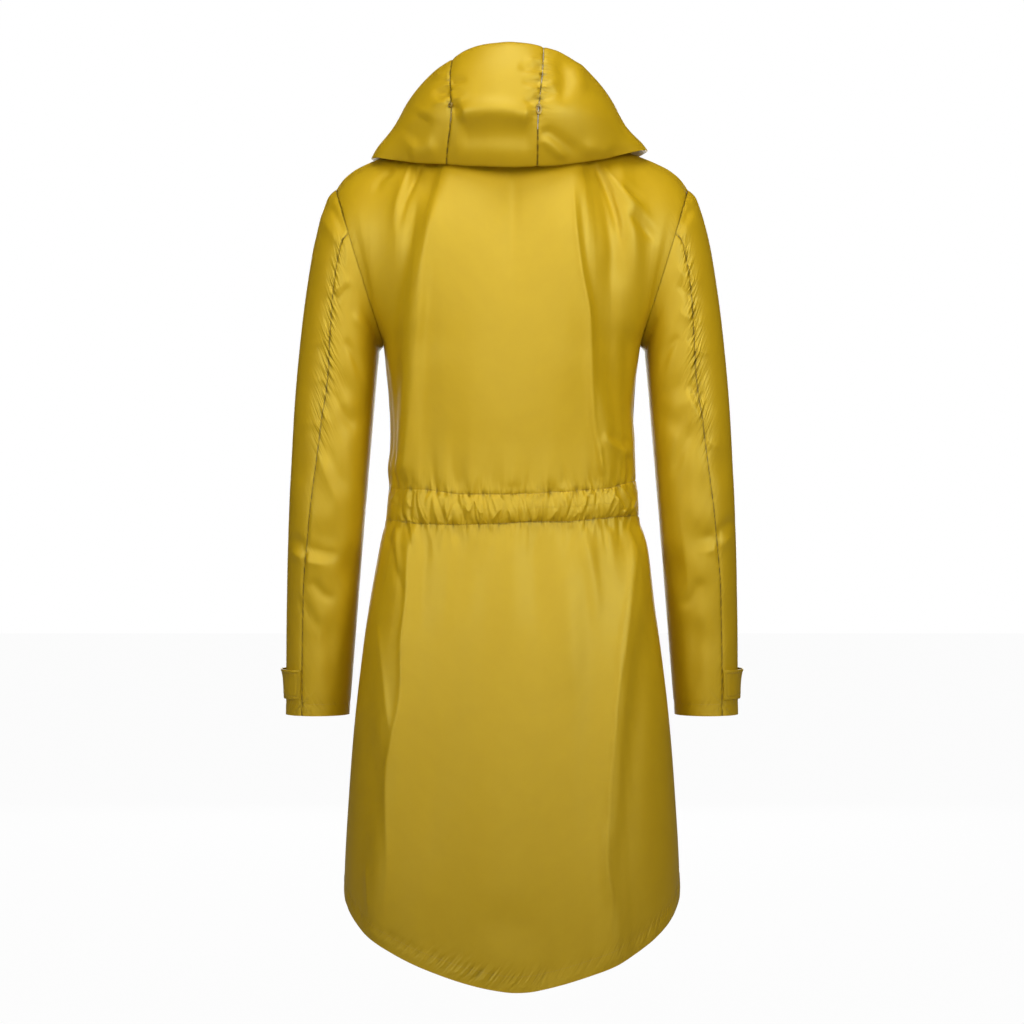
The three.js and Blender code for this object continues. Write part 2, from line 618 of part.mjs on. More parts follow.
// One front: columns spread from the zip to the armhole or side seam at every level.
function frontGrid(hand) {
  const outer = [];
  const normals = [];
  const spread = (edge, i) => (i === FRONT_COLUMNS ? 1 : mix(edge, 1, i / FRONT_COLUMNS));
  const sharesFrom = (edge) => Array.from({ length: FRONT_COLUMNS + 1 }, (_, i) => spread(edge, i));
  for (const up of UPPER_LEVELS) {
    const shares = neckMatchedShares(sharesFrom(frontShareAt(ZIP_HALF_OPENING, up)), up);
    outer.push(shares.map((share) => upperEdgePoint(-1, hand * share, up)));
    normals.push(shares.map((share) => upperNormal(-1, hand * share, up)));
  }
  for (const dropAt of LOWER_LEVELS) {
    const shares = sharesFrom(frontShareAt(ZIP_HALF_OPENING, undefined, dropAt(180)));
    const angles = shares.map((share) => 180 - share * (180 - SIDE_ANGLE));
    outer.push(angles.map((angle) => sideSeamPoint(-1, hand * angle, dropAt(angle))));
    normals.push(angles.map((angle) => bodyNormal(hand * angle, dropAt(angle))));
  }
  return { outer, normals };
}

// Near the top edge one column is drawn to the corner between neck and shoulder.
function neckMatchedShares(shares, up) {
  let nearest = 1;
  shares.forEach((share, i) => {
    if (Math.abs(share - NECK_SHARE) < Math.abs(shares[nearest] - NECK_SHARE)) nearest = i;
  });
  shares[nearest] = mix(shares[nearest], NECK_SHARE, smooth(up, 0.5, 1));
  return shares;
}

const neckEdges = [...backGrid.outer[0]];
for (const [hand, name] of [[1, "front_left"], [-1, "front_right"]]) {
  const grid = frontGrid(hand);
  addPiece(name, wallGeometry(grid.outer, grid.normals, () => WALL), COLOURS.cloth);
  neckEdges.push(...grid.outer[0]);
}

// Waist casing: a strip on the back from side seam to side seam, raised and gathered.
function casingGeometry() {
  const columns = CASING_GATHERS * 3;
  const rowsDown = 3;
  const outer = [];
  const inner = [];
  for (let j = 0; j <= rowsDown; j += 1) {
    const drop = mix(CASING_TOP_DROP, CASING_BOTTOM_DROP, j / rowsDown);
    outer.push([]);
    inner.push([]);
    for (let i = 0; i <= columns; i += 1) {
      const end = SIDE_ANGLE - 0.6;
      const angle = mix(-end, end, i / columns);
      const p = bodyPoint(angle, drop);
      const outward = bodyNormal(angle, drop);
      const phase = (i / columns) * CASING_GATHERS + GATHER_SLANT * (j / rowsDown);
      const uneven = 0.7 + 0.3 * Math.sin(1.7 * phase + 2);
      const crown = Math.sin((Math.PI * (j + 0.5)) / (rowsDown + 1));
      const gather = GATHER_DEPTH * uneven * (0.5 + 0.5 * Math.cos(2 * Math.PI * phase));
      const endFade = smooth(Math.min(i, columns - i), 0, 6);
      const raise = CASING_LIFT + 1.2 + (CASING_BULGE * crown + gather) * mix(0.25, 1, endFade);
      outer.at(-1).push(p.clone().addScaledVector(outward, raise));
      inner.at(-1).push(p.clone().addScaledVector(outward, CASING_LIFT));
    }
  }
  const normals = outer.map((row, j) => row.map((p, i) => p.clone().sub(inner[j][i]).normalize()));
  const depths = outer.map((row, j) => row.map((p, i) => p.distanceTo(inner[j][i])));
  return wallGeometry(outer, normals, (j, i) => depths[j][i], 1);
}

addPiece("waist_casing", casingGeometry(), COLOURS.shade);

// Sleeves.
const outerAt = curveOf(SLEEVE_OUTER, "drop", "x");
const innerAtDrop = curveOf(SLEEVE_INNER, "drop", "x");
const halfDepthAt = curveOf(SLEEVE_DEPTHS, "drop", "halfDepth");
const backSeamAt = curveOf(BACK_SEAM_TURNS, "drop", "turn");
const UNDERARM = armholePoint(180);

// Each ring joins a point of the outer line to one of the inner line; along runs from 0 to 1.
const RING_LEVEL_SHARE = 0.5;
function ringDrops(along) {
  if (along >= RING_LEVEL_SHARE) {
    const share = (along - RING_LEVEL_SHARE) / (1 - RING_LEVEL_SHARE);
    const level = mix(SLEEVE_LEVEL_DROP, SLEEVE_END_DROP, share);
    return { outer: level, inner: level };
  }
  const share = along / RING_LEVEL_SHARE;
  const outer = mix(-SHOULDER_TIP.z, SLEEVE_LEVEL_DROP, share ** 1.45);
  const inner = mix(-UNDERARM.z, SLEEVE_LEVEL_DROP, share ** 1.25);
  return { outer, inner };
}

function sleeveCentreY(drop) {
  return SLEEVE_CENTRE_Y - CUFF_FORWARD * smooth(drop, 380, 740);
}

function plainSleeve(along, turn) {
  const drops = ringDrops(along);
  const meanDrop = (drops.outer + drops.inner) / 2;
  const seat = 1 - smooth(along, 0, 0.3);
  const centreY = sleeveCentreY(meanDrop);
  const shoulderY = mix(centreY, SHOULDER_TIP.y, seat);
  const underarmY = mix(centreY, UNDERARM.y, seat);
  const outerEnd = new THREE.Vector3(outerAt(drops.outer), shoulderY, -drops.outer);
  const innerEnd = new THREE.Vector3(mix(innerAtDrop(drops.inner), UNDERARM.x, 1 - smooth(along, 0, 0.04)),
    underarmY, -drops.inner);
  const centre = outerEnd.clone().add(innerEnd).multiplyScalar(0.5);
  const reach = outerEnd.clone().sub(innerEnd).multiplyScalar(0.5);
  const cosine = Math.cos(radians(turn));
  const sine = Math.sin(radians(turn));
  const p = centre.addScaledVector(reach, cosine);
  p.y += halfDepthAt(meanDrop) * sine;
  return p;
}

function sleeveFoldHeight(along, turn) {
  const drops = ringDrops(along);
  const share = (1 - Math.cos(radians(turn))) / 2;
  const drop = mix(drops.outer, drops.inner, share);
  let height = 0;
  for (const fold of SLEEVE_FOLDS) {
    const aside = turn - fold.turn;
    const across = (drop - fold.drop - fold.slope * aside) / fold.width;
    height += fold.depth * Math.exp(-(across ** 2) - (aside / fold.spread) ** 2);
  }
  return height;
}

const ARMHOLE_BLEND = 0.32;
function sleevePoint(along, turn) {
  const p = plainSleeve(along, turn);
  const left = 1 - smooth(along, 0, ARMHOLE_BLEND);
  if (left > 0) p.add(armholePoint(turn).sub(plainSleeve(0, turn)).multiplyScalar(left));
  if (along <= 0) return p;
  const outward = surfaceNormal(plainSleeve, Math.max(along, 0.02), turn, 0.004, 0.5);
  const wrapped = turn > 180 ? turn - 360 : turn;
  return p.addScaledVector(outward, sleeveFoldHeight(along, wrapped) * smooth(along, 0.05, 0.3));
}

function sleeveNormal(along, turn) {
  if (along <= 0) return armholeRadial(armholePoint(turn));
  return surfaceNormal(sleevePoint, Math.max(along, 0.008), turn, 0.004, 0.5);
}

const SLEEVE_ROWS = 22;

function sleeveGeometry(hand, columns, turnAt) {
  const outer = [];
  const normals = [];
  for (let j = 0; j <= SLEEVE_ROWS; j += 1) {
    const along = j / SLEEVE_ROWS;
    const drops = ringDrops(along);
    outer.push([]);
    normals.push([]);
    for (let i = 0; i <= columns; i += 1) {
      const turn = turnAt(i / columns, (drops.outer + drops.inner) / 2);
      const p = sleevePoint(along, turn);
      const normal = sleeveNormal(along, turn);
      if (j === 0) p.addScaledVector(ARMHOLE_AXIS, SEAM_GAP);
      if (i === 0 || i === columns) {
        const toMiddle = sleevePoint(along, turn + (i === 0 ? 1 : -1)).sub(sleevePoint(along, turn));
        p.addScaledVector(toMiddle.normalize(), SEAM_GAP / 2);
      }
      if (hand < 0) {
        p.x = -p.x;
        normal.x = -normal.x;
      }
      outer.at(-1).push(p);
      normals.at(-1).push(normal);
    }
  }
  return wallGeometry(outer, normals, () => WALL, 2);
}

// Cuff tab: made from the sleeve's own points, moved out, and standing off along its top edge.
function tabGeometry(hand) {
  const columns = 16;
  const rowsDown = 3;
  const outer = [];
  const normals = [];
  for (let j = 0; j <= rowsDown; j += 1) {
    const drop = mix(TAB_TOP_DROP, TAB_BOTTOM_DROP, j / rowsDown);
    const share = (drop - SLEEVE_LEVEL_DROP) / (SLEEVE_END_DROP - SLEEVE_LEVEL_DROP);
    const along = mix(RING_LEVEL_SHARE, 1, share);
    outer.push([]);
    normals.push([]);
    for (let i = 0; i <= columns; i += 1) {
      const turn = mix(TAB_START_TURN, TAB_END_TURN, i / columns);
      const normal = sleeveNormal(along, turn);
      const gape = TAB_GAPE * (1 - j / rowsDown) ** 2 * Math.sin((Math.PI * i) / columns);
      const lift = mix(TAB_SEWN_LIFT, TAB_LIFT, smooth(i, 0, 4));
      const p = sleevePoint(along, turn).addScaledVector(normal, lift + TAB_THICKNESS + gape);
      if (hand < 0) {
        p.x = -p.x;
        normal.x = -normal.x;
      }
      outer.at(-1).push(p);
      normals.at(-1).push(normal);
    }
  }
  return wallGeometry(outer, normals, () => TAB_THICKNESS, 1);
}

for (const [hand, side] of [[1, "left"], [-1, "right"]]) {
  const upper = (share, drop) => mix(FRONT_SEAM_TURN, backSeamAt(drop), share);
  const under = (share, drop) => mix(backSeamAt(drop), FRONT_SEAM_TURN + 360, share);
  addPiece(`sleeve_${side}_upper`, sleeveGeometry(hand, 14, upper), COLOURS.cloth);
  addPiece(`sleeve_${side}_under`, sleeveGeometry(hand, 12, under), COLOURS.shade);
  addPiece(`cuff_tab_${side}`, tabGeometry(hand), COLOURS.shade);
}

// Hood.
const hoodCurves = Object.fromEntries(
  ["foldR", "foldZ", "bellyR", "bellyZ", "rimR", "rimZ", "hemR", "hemZ"]
    .map((key) => [key, curveOf(HOOD_PROFILES, "turn", key)]),
);
const seamLeftAt = curveOf(HOOD_SEAMS, "along", "left");
const seamRightAt = curveOf(HOOD_SEAMS, "along", "right");

// The neck seam at an angle from the centre back, found on the top edges of the panels.
const neckLine = neckEdges
  .filter((p) => Math.abs(p.x) < SIDE_NECK.x + 1)
  .map((point) => ({ point, angle: planAngle(point) }))
  .sort((a, b) => a.angle - b.angle);

function neckSeam(angle) {
  const held = THREE.MathUtils.clamp(angle, neckLine[0].angle, neckLine.at(-1).angle);
  let k = 0;
  while (k < neckLine.length - 2 && held > neckLine[k + 1].angle) k += 1;
  const { point: start, angle: from } = neckLine[k];
  const { point: end, angle: to } = neckLine[k + 1];
  return start.clone().lerp(end, (held - from) / (to - from));
}

function hoodProfile(angle) {
  const turned = Math.abs(angle);
  const sine = Math.sin(radians(angle));
  const cosine = Math.cos(radians(angle));
  const shrink = 1 - HOOD_RIGHT_SHRINK * (1 - sine);
  const at = (reach, z) => new THREE.Vector3(reach * shrink * sine, HOOD_AXIS_Y + reach * cosine, z);
  const seam = neckSeam(angle);
  const stand = seam.clone().addScaledVector(neckOutward(seam), HOOD_STAND * 0.8);
  stand.z += HOOD_STAND;
  const lift = HOOD_RIGHT_LIFT * (1 - sine) * smooth(turned, 20, 80) * (1 - smooth(turned, 100, 150));
  return new THREE.CatmullRomCurve3([
    seam,
    stand,
    at(hoodCurves.foldR(turned), hoodCurves.foldZ(turned) + lift),
    at(hoodCurves.bellyR(turned), hoodCurves.bellyZ(turned)),
    at(hoodCurves.rimR(turned), hoodCurves.rimZ(turned)),
    at(hoodCurves.hemR(turned), hoodCurves.hemZ(turned)),
  ], false, "centripetal");
}

function plainHood(angle, along) {
  return hoodProfile(angle).getPoint(THREE.MathUtils.clamp(along / 5, 0, 1));
}

function eyeletCentre(eyelet) {
  const seamAt = eyelet.seam === "left" ? seamLeftAt : seamRightAt;
  return plainHood(seamAt(eyelet.along), eyelet.along);
}

const eyeletCentres = EYELETS.map(eyeletCentre);

// share runs from 0 to 1 across one hood panel, which stands a little proud of its seams.
function hoodPoint(panel, share, along) {
  const angle = panelAngle(panel, share, along);
  const p = plainHood(angle, along);
  const crown = HOOD_CROWN * Math.sin(Math.PI * THREE.MathUtils.clamp(share, 0, 1)) ** 0.6
    * smooth(along, 2, 2.6) * (1 - smooth(along, 3.8, 4.6));
  let flat = 1;
  for (const centre of eyeletCentres) flat *= smooth(p.distanceTo(centre), EYELET_RADIUS, EYELET_FLAT);
  return p.addScaledVector(hoodNormalPlain(angle, along), crown * flat);
}

function hoodNormalPlain(angle, along) {
  const held = THREE.MathUtils.clamp(along, 0.03, 4.97);
  return surfaceNormal(plainHood, THREE.MathUtils.clamp(angle, -178, 178), held, 0.6, 0.02).negate();
}

function panelAngle(panel, share, along) {
  const left = seamLeftAt(along);
  const right = seamRightAt(along);
  if (panel === "left") return mix(left, HOOD_FRONT_ANGLE, share);
  if (panel === "right") return mix(-HOOD_FRONT_ANGLE, right, share);
  return mix(right, left, share);
}

function hoodGeometry(panel, columns) {
  const outer = [];
  const normals = [];
  for (const along of HOOD_ROWS) {
    outer.push([]);
    normals.push([]);
    for (let i = 0; i <= columns; i += 1) {
      const share = i / columns;
      const angle = panelAngle(panel, share, along);
      const p = hoodPoint(panel, share, along);
      let normal = hoodNormalPlain(angle, along);
      if (along === 0) {
        p.z += SEAM_GAP * mix(1, 3, smooth(Math.abs(angle), 60, 90));
        normal = neckOutward(p);
      }
      const onSeam = (i === 0 && panel !== "right") || (i === columns && panel !== "left");
      if (onSeam) {
        const inward = i === 0 ? 1 : -1;
        const toMiddle = plainHood(angle + inward, along).sub(plainHood(angle, along)).normalize();
        p.addScaledVector(toMiddle, along < 1.2 ? SEAM_GAP : SEAM_GAP / 2);
      }
      outer.at(-1).push(p);
      normals.at(-1).push(normal);
    }
  }
  return wallGeometry(outer, normals, () => WALL, 1);
}

addPiece("hood_left", hoodGeometry("left", 14), COLOURS.cloth);
addPiece("hood_centre", hoodGeometry("centre", 8), COLOURS.cloth);
addPiece("hood_right", hoodGeometry("right", 16), COLOURS.cloth);

// Eyelets: flat rings lying over the two hood seams.
function eyeletGeometry(eyelet) {
  const angle = (eyelet.seam === "left" ? seamLeftAt : seamRightAt)(eyelet.along);
  const p = eyeletCentre(eyelet);
  const outward = hoodNormalPlain(angle, eyelet.along);
  const profile = [
    [EYELET_HOLE, 0],
    [EYELET_RADIUS, 0],
    [EYELET_RADIUS - 0.3, EYELET_THICKNESS],
    [EYELET_HOLE + 0.3, EYELET_THICKNESS],
    [EYELET_HOLE, 0],
  ].map(([r, h]) => new THREE.Vector2(r, h));
  const ring = new THREE.LatheGeometry(profile, 20).rotateX(Math.PI / 2);
  ring.scale(1, eyelet.stretch, 1);
  const across = new THREE.Vector3(0, 0, 1).cross(outward).normalize();
  const upward = outward.clone().cross(across).normalize();
  const place = new THREE.Matrix4().makeBasis(across, upward, outward);
  place.setPosition(p.addScaledVector(outward, EYELET_LIFT));
  return ring.applyMatrix4(place);
}

for (const eyelet of EYELETS) {
  addPiece(eyelet.name, eyeletGeometry(eyelet), COLOURS.metal, 0.3, 0.9);
}

// Zip: every strip follows the front from just under the neck to just above the hem.
// Point and outward direction of the front at a distance from the centre line, at one level.
function frontPlace(x, up, drop) {
  const hand = Math.sign(x) || 1;
  const share = frontShareAt(Math.abs(x), up, drop);
  const angle = hand * (180 - share * (180 - SIDE_ANGLE));
  const p = drop === undefined ? plainUpper(-1, hand * share, up) : plainBody(angle, drop);
  const above = drop === undefined ? plainUpper(-1, hand * share, up + 0.01) : plainBody(angle, drop - 1);
  const below = drop === undefined ? plainUpper(-1, hand * share, up - 0.01) : plainBody(angle, drop + 1);
  const down = below.sub(above);
  const outward = new THREE.Vector3(0, down.z, -down.y).normalize();
  return { p, outward, down: down.normalize() };
}

const ZIP_LEVELS = [
  ...Array.from({ length: UPPER_ROWS }, (_, j) => ({ up: ZIP_TOP_SHARE - j / UPPER_ROWS }))
    .filter((level) => level.up > 0.02),
  { drop: UNDERARM_DROP },
  ...WAIST_DROPS.filter((_, i) => i % 2 === 1).map((drop) => ({ drop })),
  ...Array.from({ length: SKIRT_ROWS - 1 }, (_, j) => {
    const end = hemDrop(180) - ZIP_FOOT_MARGIN;
    return { drop: mix(WAIST_DROPS.at(-1), end, (j + 1) / (SKIRT_ROWS - 1)) };
  }),
];

function zipStrip(places, depth, lift) {
  const outer = [];
  const normals = [];
  for (const level of ZIP_LEVELS) {
    const found = places.map((x) => frontPlace(x, level.up, level.drop));
    outer.push(found.map(({ p, outward }) => p.addScaledVector(outward, lift)));
    normals.push(found.map(({ outward }) => outward));
  }
  return wallGeometry(outer, normals, () => depth, 1);
}

const tapeEdges = [ZIP_TEETH_HALF + SEAM_GAP, ZIP_HALF_OPENING - SEAM_GAP];
const teethEdges = [-ZIP_TEETH_HALF, ZIP_TEETH_HALF];
const TEETH_LIFT = (ZIP_TEETH_THICKNESS - ZIP_TAPE_THICKNESS) / 2;
addPiece("zip_tape_left", zipStrip(tapeEdges, ZIP_TAPE_THICKNESS, 0), COLOURS.tape);
addPiece("zip_tape_right", zipStrip(tapeEdges.map((x) => -x), ZIP_TAPE_THICKNESS, 0), COLOURS.tape);
addPiece("zip_teeth", zipStrip(teethEdges, ZIP_TEETH_THICKNESS, TEETH_LIFT), COLOURS.tape);

// Slider and pull tab are drawn flat: x across, y up the zip, z out of the front.
function sliderUp(drop) {
  let low = 0;
  let high = 1;
  for (let k = 0; k < 30; k += 1) {
    const middle = (low + high) / 2;
    if (-plainUpper(-1, 0, middle).z > drop) low = middle;
    else high = middle;
  }
  return (low + high) / 2;
}

const seat = frontPlace(0, sliderUp(SLIDER_DROP));
const sliderPlace = new THREE.Matrix4().makeBasis(
  new THREE.Vector3(1, 0, 0),
  seat.down.clone().negate(),
  seat.outward,
);
const SLIDER_LIFT = TEETH_LIFT + SEAM_GAP + SLIDER_CLEARANCE;
sliderPlace.setPosition(seat.p.clone().addScaledVector(seat.outward, SLIDER_LIFT));

function roundedPlate(width, length, corner) {
  const plate = new THREE.Shape();
  const [x, y] = [width / 2, length / 2];
  plate.moveTo(-x + corner, -y);
  plate.lineTo(x - corner, -y);
  plate.absarc(x - corner, -y + corner, corner, -Math.PI / 2, 0);
  plate.lineTo(x, y - corner);
  plate.absarc(x - corner, y - corner, corner, 0, Math.PI / 2);
  plate.lineTo(-x + corner, y);
  plate.absarc(-x + corner, y - corner, corner, Math.PI / 2, Math.PI);
  plate.lineTo(-x, -y + corner);
  plate.absarc(-x + corner, -y + corner, corner, Math.PI, Math.PI * 1.5);
  return plate;
}

function solidOf(geometry) {
  const flat = geometry.clone();
  flat.deleteAttribute("normal");
  flat.deleteAttribute("uv");
  const merged = mergeVertices(flat, 1e-4);
  return new wasm.Manifold(new wasm.Mesh({
    numProp: 3,
    vertProperties: new Float32Array(merged.attributes.position.array),
    triVerts: new Uint32Array(merged.index.array),
  }));
}

function geometryOf(solid) {
  const mesh = solid.getMesh();
  const geometry = new THREE.BufferGeometry();
  geometry.setAttribute("position", new THREE.Float32BufferAttribute(mesh.vertProperties, 3));
  geometry.setIndex(Array.from(mesh.triVerts));
  return geometry;
}

// The bail is an arch over the slider: the pull's eye bar turns inside it.
function sliderGeometry() {
  const plate = new THREE.ExtrudeGeometry(roundedPlate(SLIDER_WIDTH, SLIDER_LENGTH, 2.4), {
    depth: SLIDER_HEIGHT,
    bevelEnabled: false,
    curveSegments: 4,
  });
  const arch = new THREE.Shape();
  const foot = -0.5;
  arch.moveTo(-BAIL_LENGTH / 2, foot);
  arch.lineTo(-BAIL_LENGTH / 2 + BAIL_WALL, foot);
  arch.lineTo(-BAIL_LENGTH / 2 + BAIL_WALL, BAIL_HEIGHT - BAIL_WALL);
  arch.lineTo(BAIL_LENGTH / 2 - BAIL_WALL, BAIL_HEIGHT - BAIL_WALL);
  arch.lineTo(BAIL_LENGTH / 2 - BAIL_WALL, foot);
  arch.lineTo(BAIL_LENGTH / 2, foot);
  arch.lineTo(BAIL_LENGTH / 2, BAIL_HEIGHT - 0.6);
  arch.lineTo(BAIL_LENGTH / 2 - 0.6, BAIL_HEIGHT);
  arch.lineTo(-BAIL_LENGTH / 2 + 0.6, BAIL_HEIGHT);
  arch.lineTo(-BAIL_LENGTH / 2, BAIL_HEIGHT - 0.6);
  const bail = new THREE.ExtrudeGeometry(arch, { depth: BAIL_WIDTH, bevelEnabled: false });
  bail.translate(0, 0, -BAIL_WIDTH / 2);
  const upright = new THREE.Matrix4().makeBasis(
    new THREE.Vector3(0, 1, 0),
    new THREE.Vector3(0, 0, 1),
    new THREE.Vector3(1, 0, 0),
  );
  bail.applyMatrix4(upright).translate(0, 0, SLIDER_HEIGHT);
  return geometryOf(solidOf(plate).add(solidOf(bail))).applyMatrix4(sliderPlace);
}

function pullGeometry() {
  const plate = new THREE.Shape();
  const half = PULL_WIDTH / 2;
  const top = PULL_BAR / 2;
  plate.moveTo(-half, top);
  plate.lineTo(-half, top - PULL_LENGTH + half);
  plate.absarc(0, top - PULL_LENGTH + half, half, Math.PI, 2 * Math.PI);
  plate.lineTo(half, top);
  const eye = new THREE.Path();
  const side = PULL_EYE_WIDTH / 2;
  eye.moveTo(-side, -top);
  eye.lineTo(side, -top);
  eye.lineTo(side, -top - PULL_EYE_LENGTH);
  eye.lineTo(-side, -top - PULL_EYE_LENGTH);
  plate.holes.push(eye);
  const geometry = new THREE.ExtrudeGeometry(plate, {
    depth: PULL_BAR,
    bevelEnabled: false,
    curveSegments: 8,
  });
  geometry.translate(0, 0, SLIDER_HEIGHT + PULL_AXIS_HEIGHT - PULL_BAR / 2);
  return geometry.applyMatrix4(sliderPlace);
}

addPiece("zip_slider", sliderGeometry(), COLOURS.metal, 0.3, 0.9);
addPiece("zip_pull", pullGeometry(), COLOURS.metal, 0.3, 0.9);

export default garment;
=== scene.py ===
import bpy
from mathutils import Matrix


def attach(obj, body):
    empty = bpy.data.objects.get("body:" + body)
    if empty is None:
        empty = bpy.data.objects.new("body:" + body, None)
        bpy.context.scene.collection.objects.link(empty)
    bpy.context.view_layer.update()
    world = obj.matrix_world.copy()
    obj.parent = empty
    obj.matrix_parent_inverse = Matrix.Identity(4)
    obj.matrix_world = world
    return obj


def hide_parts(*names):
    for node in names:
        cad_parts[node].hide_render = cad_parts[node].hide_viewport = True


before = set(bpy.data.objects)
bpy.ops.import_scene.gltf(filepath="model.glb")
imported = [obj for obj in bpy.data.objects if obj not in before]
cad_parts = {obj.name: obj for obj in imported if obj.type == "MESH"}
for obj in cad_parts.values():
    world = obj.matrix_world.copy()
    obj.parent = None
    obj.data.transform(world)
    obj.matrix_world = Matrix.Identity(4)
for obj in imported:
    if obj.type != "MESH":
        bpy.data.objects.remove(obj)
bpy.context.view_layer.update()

import math
import bmesh
import bpy
import numpy as np
from mathutils import Vector

# The back panel.
# One piece of light coated nylon with a satin face, cut from the neck to a rounded hem and sewn into
# the side, shoulder, neck and armhole seams. It hangs in soft drapes and is drawn in at the waist.
MM = 0.001
VIEW_DISTANCE = 3600.0
VIEW_DROP = 444.6
CLOTH_THICKNESS = 1.0
SHARP_FROM = 62


def full_part(spots):
    """The rows and columns of a set of grid places that are nearly full, and how full they are."""
    span = spots.max(axis=0) + 1
    filled = np.zeros(span, bool)
    filled[spots[:, 0], spots[:, 1]] = True
    rows = np.flatnonzero(filled.sum(axis=1) > 0.6 * filled.sum(axis=1).max())
    columns = np.flatnonzero(filled.sum(axis=0) > 0.6 * filled.sum(axis=0).max())
    inner = filled[rows[0]:rows[-1] + 1, columns[0]:columns[-1] + 1]
    return inner.mean() * math.sqrt(inner.size), rows, columns


def panel_grid(node, rows, outside, first_row_near, first_column_near, wall=1.8, sharpest=60):
    """The points of a panel's outer face in rows and columns, in millimetres, read off its solid."""
    made = bmesh.new()
    made.from_mesh(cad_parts[node].data)
    bmesh.ops.remove_doubles(made, verts=made.verts, dist=0.005 * MM)
    rim = {f for f in made.faces if any(abs(e.calc_length() - wall * MM) < 0.01 * MM for e in f.edges)}
    target = Vector(outside) * MM
    face = min(made.faces, key=lambda f: (f.calc_center_median() - target).length)
    place = dict(zip(face.verts, [(0, 0), (1, 0), (0, 1)]))
    border, done = [face], {face}
    while border:
        face = border.pop(0)
        for edge in face.edges:
            for other in edge.link_faces:
                bend = math.degrees(face.normal.angle(other.normal))
                if other in done or other in rim or bend > sharpest:
                    continue
                one, two = [place[v] for v in edge.verts]
                third = place[next(v for v in face.verts if v not in edge.verts)]
                far = next(v for v in other.verts if v not in edge.verts)
                place.setdefault(far, (one[0] + two[0] - third[0], one[1] + two[1] - third[1]))
                done.add(other)
                border.append(other)
    spots = np.array(list(place.values()))
    places = np.array([tuple(v.co) for v in place]) / MM
    made.free()
    best = (0,)
    for turn in (((1, 0), (0, 1)), ((1, 1), (-1, 0)), ((1, 1), (0, 1))):
        turned = spots @ np.array(turn).T
        turned -= turned.min(axis=0)
        fullness, kept_rows, kept_columns = full_part(turned)
        if fullness > best[0]:
            best = (fullness, turned, kept_rows, kept_columns)
    _, turned, kept_rows, kept_columns = best
    grid = np.full((*(turned.max(axis=0) + 1), 3), np.nan)
    grid[turned[:, 0], turned[:, 1]] = places
    grid = grid[kept_rows[0]:kept_rows[-1] + 1, kept_columns[0]:kept_columns[-1] + 1]
    if np.isnan(grid).any():
        raise ValueError(f"{node}: the outer face isn't a full grid of points, {grid.shape}")
    if grid.shape[0] != (rows or max(grid.shape[:2])):
        grid = grid.transpose(1, 0, 2)

    def away(points, target):
        return np.linalg.norm(points.mean(axis=0) - np.array(target))

    if away(grid[0], first_row_near) > away(grid[-1], first_row_near):
        grid = grid[::-1]
    if away(grid[:, 0], first_column_near) > away(grid[:, -1], first_column_near):
        grid = grid[:, ::-1]
    return grid


def spline_weights(count, places):
    """Weights that read a smooth curve through count points at fractional places."""
    start = np.clip(np.floor(places).astype(int), 0, count - 2)
    t = places - start
    weights = np.zeros((len(places), count))
    line = np.arange(len(places))
    parts = [
        (-1, -0.5 * t + t**2 - 0.5 * t**3),
        (0, 1 - 2.5 * t**2 + 1.5 * t**3),
        (1, 0.5 * t + 2 * t**2 - 1.5 * t**3),
        (2, -0.5 * t**2 + 0.5 * t**3),
    ]
    for offset, weight in parts:
        at = start + offset
        low, high = at < 0, at > count - 1
        middle = ~(low | high)
        weights[line[middle], at[middle]] += weight[middle]
        weights[line[low], 0] += 2 * weight[low]
        weights[line[low], 1] -= weight[low]
        weights[line[high], count - 1] += 2 * weight[high]
        weights[line[high], count - 2] -= weight[high]
    return weights


def cuts(grid, count, axis, closer=None):
    """Where rows (axis 0) or columns (axis 1) are cut, evenly or closer together where closer says."""
    steps = np.linalg.norm(np.diff(grid, axis=axis), axis=2).mean(axis=1 - axis)
    middle = grid.mean(axis=1 - axis)
    density = np.ones(len(steps)) if closer is None else closer((middle[1:] + middle[:-1]) / 2)
    total = np.concatenate([[0], np.cumsum(steps * density)])
    return np.interp(np.linspace(0, total[-1], count), total, np.arange(len(total)))


def smooth_sheet(grid, row_places, column_places):
    by_row = spline_weights(grid.shape[0], row_places)
    by_column = spline_weights(grid.shape[1], column_places)
    return np.einsum("ra,abk,cb->rck", by_row, grid, by_column)


def sheet_normals(points, outside):
    normals = np.cross(np.gradient(points, axis=0), np.gradient(points, axis=1))
    normals /= np.maximum(np.linalg.norm(normals, axis=2, keepdims=True), 1e-9)
    aim = np.array(outside, float) - points
    closest = np.unravel_index(np.argmin(np.linalg.norm(aim, axis=2)), points.shape[:2])
    return normals if np.dot(normals[closest], aim[closest]) > 0 else -normals


def edge_distances(points):
    """Distance of each point from the first and last row and the first and last column, in millimetres."""
    def run(axis):
        steps = np.linalg.norm(np.diff(points, axis=axis), axis=2)
        pad = [(1, 0), (0, 0)] if axis == 0 else [(0, 0), (1, 0)]
        return np.pad(np.cumsum(steps, axis=axis), pad)
    down, across = run(0), run(1)
    return {"top": down, "bottom": down[-1:] - down, "first": across, "last": across[:, -1:] - across}


def seen(points):
    """How far to the left and how far down each point is seen from behind the coat, in millimetres."""
    scale = VIEW_DISTANCE / (VIEW_DISTANCE - points[..., 1])
    return points[..., 0] * scale, VIEW_DROP - (points[..., 2] + VIEW_DROP) * scale


def smooth_step(value, low, high):
    t = np.clip((value - low) / (high - low), 0, 1)
    return t * t * (3 - 2 * t)


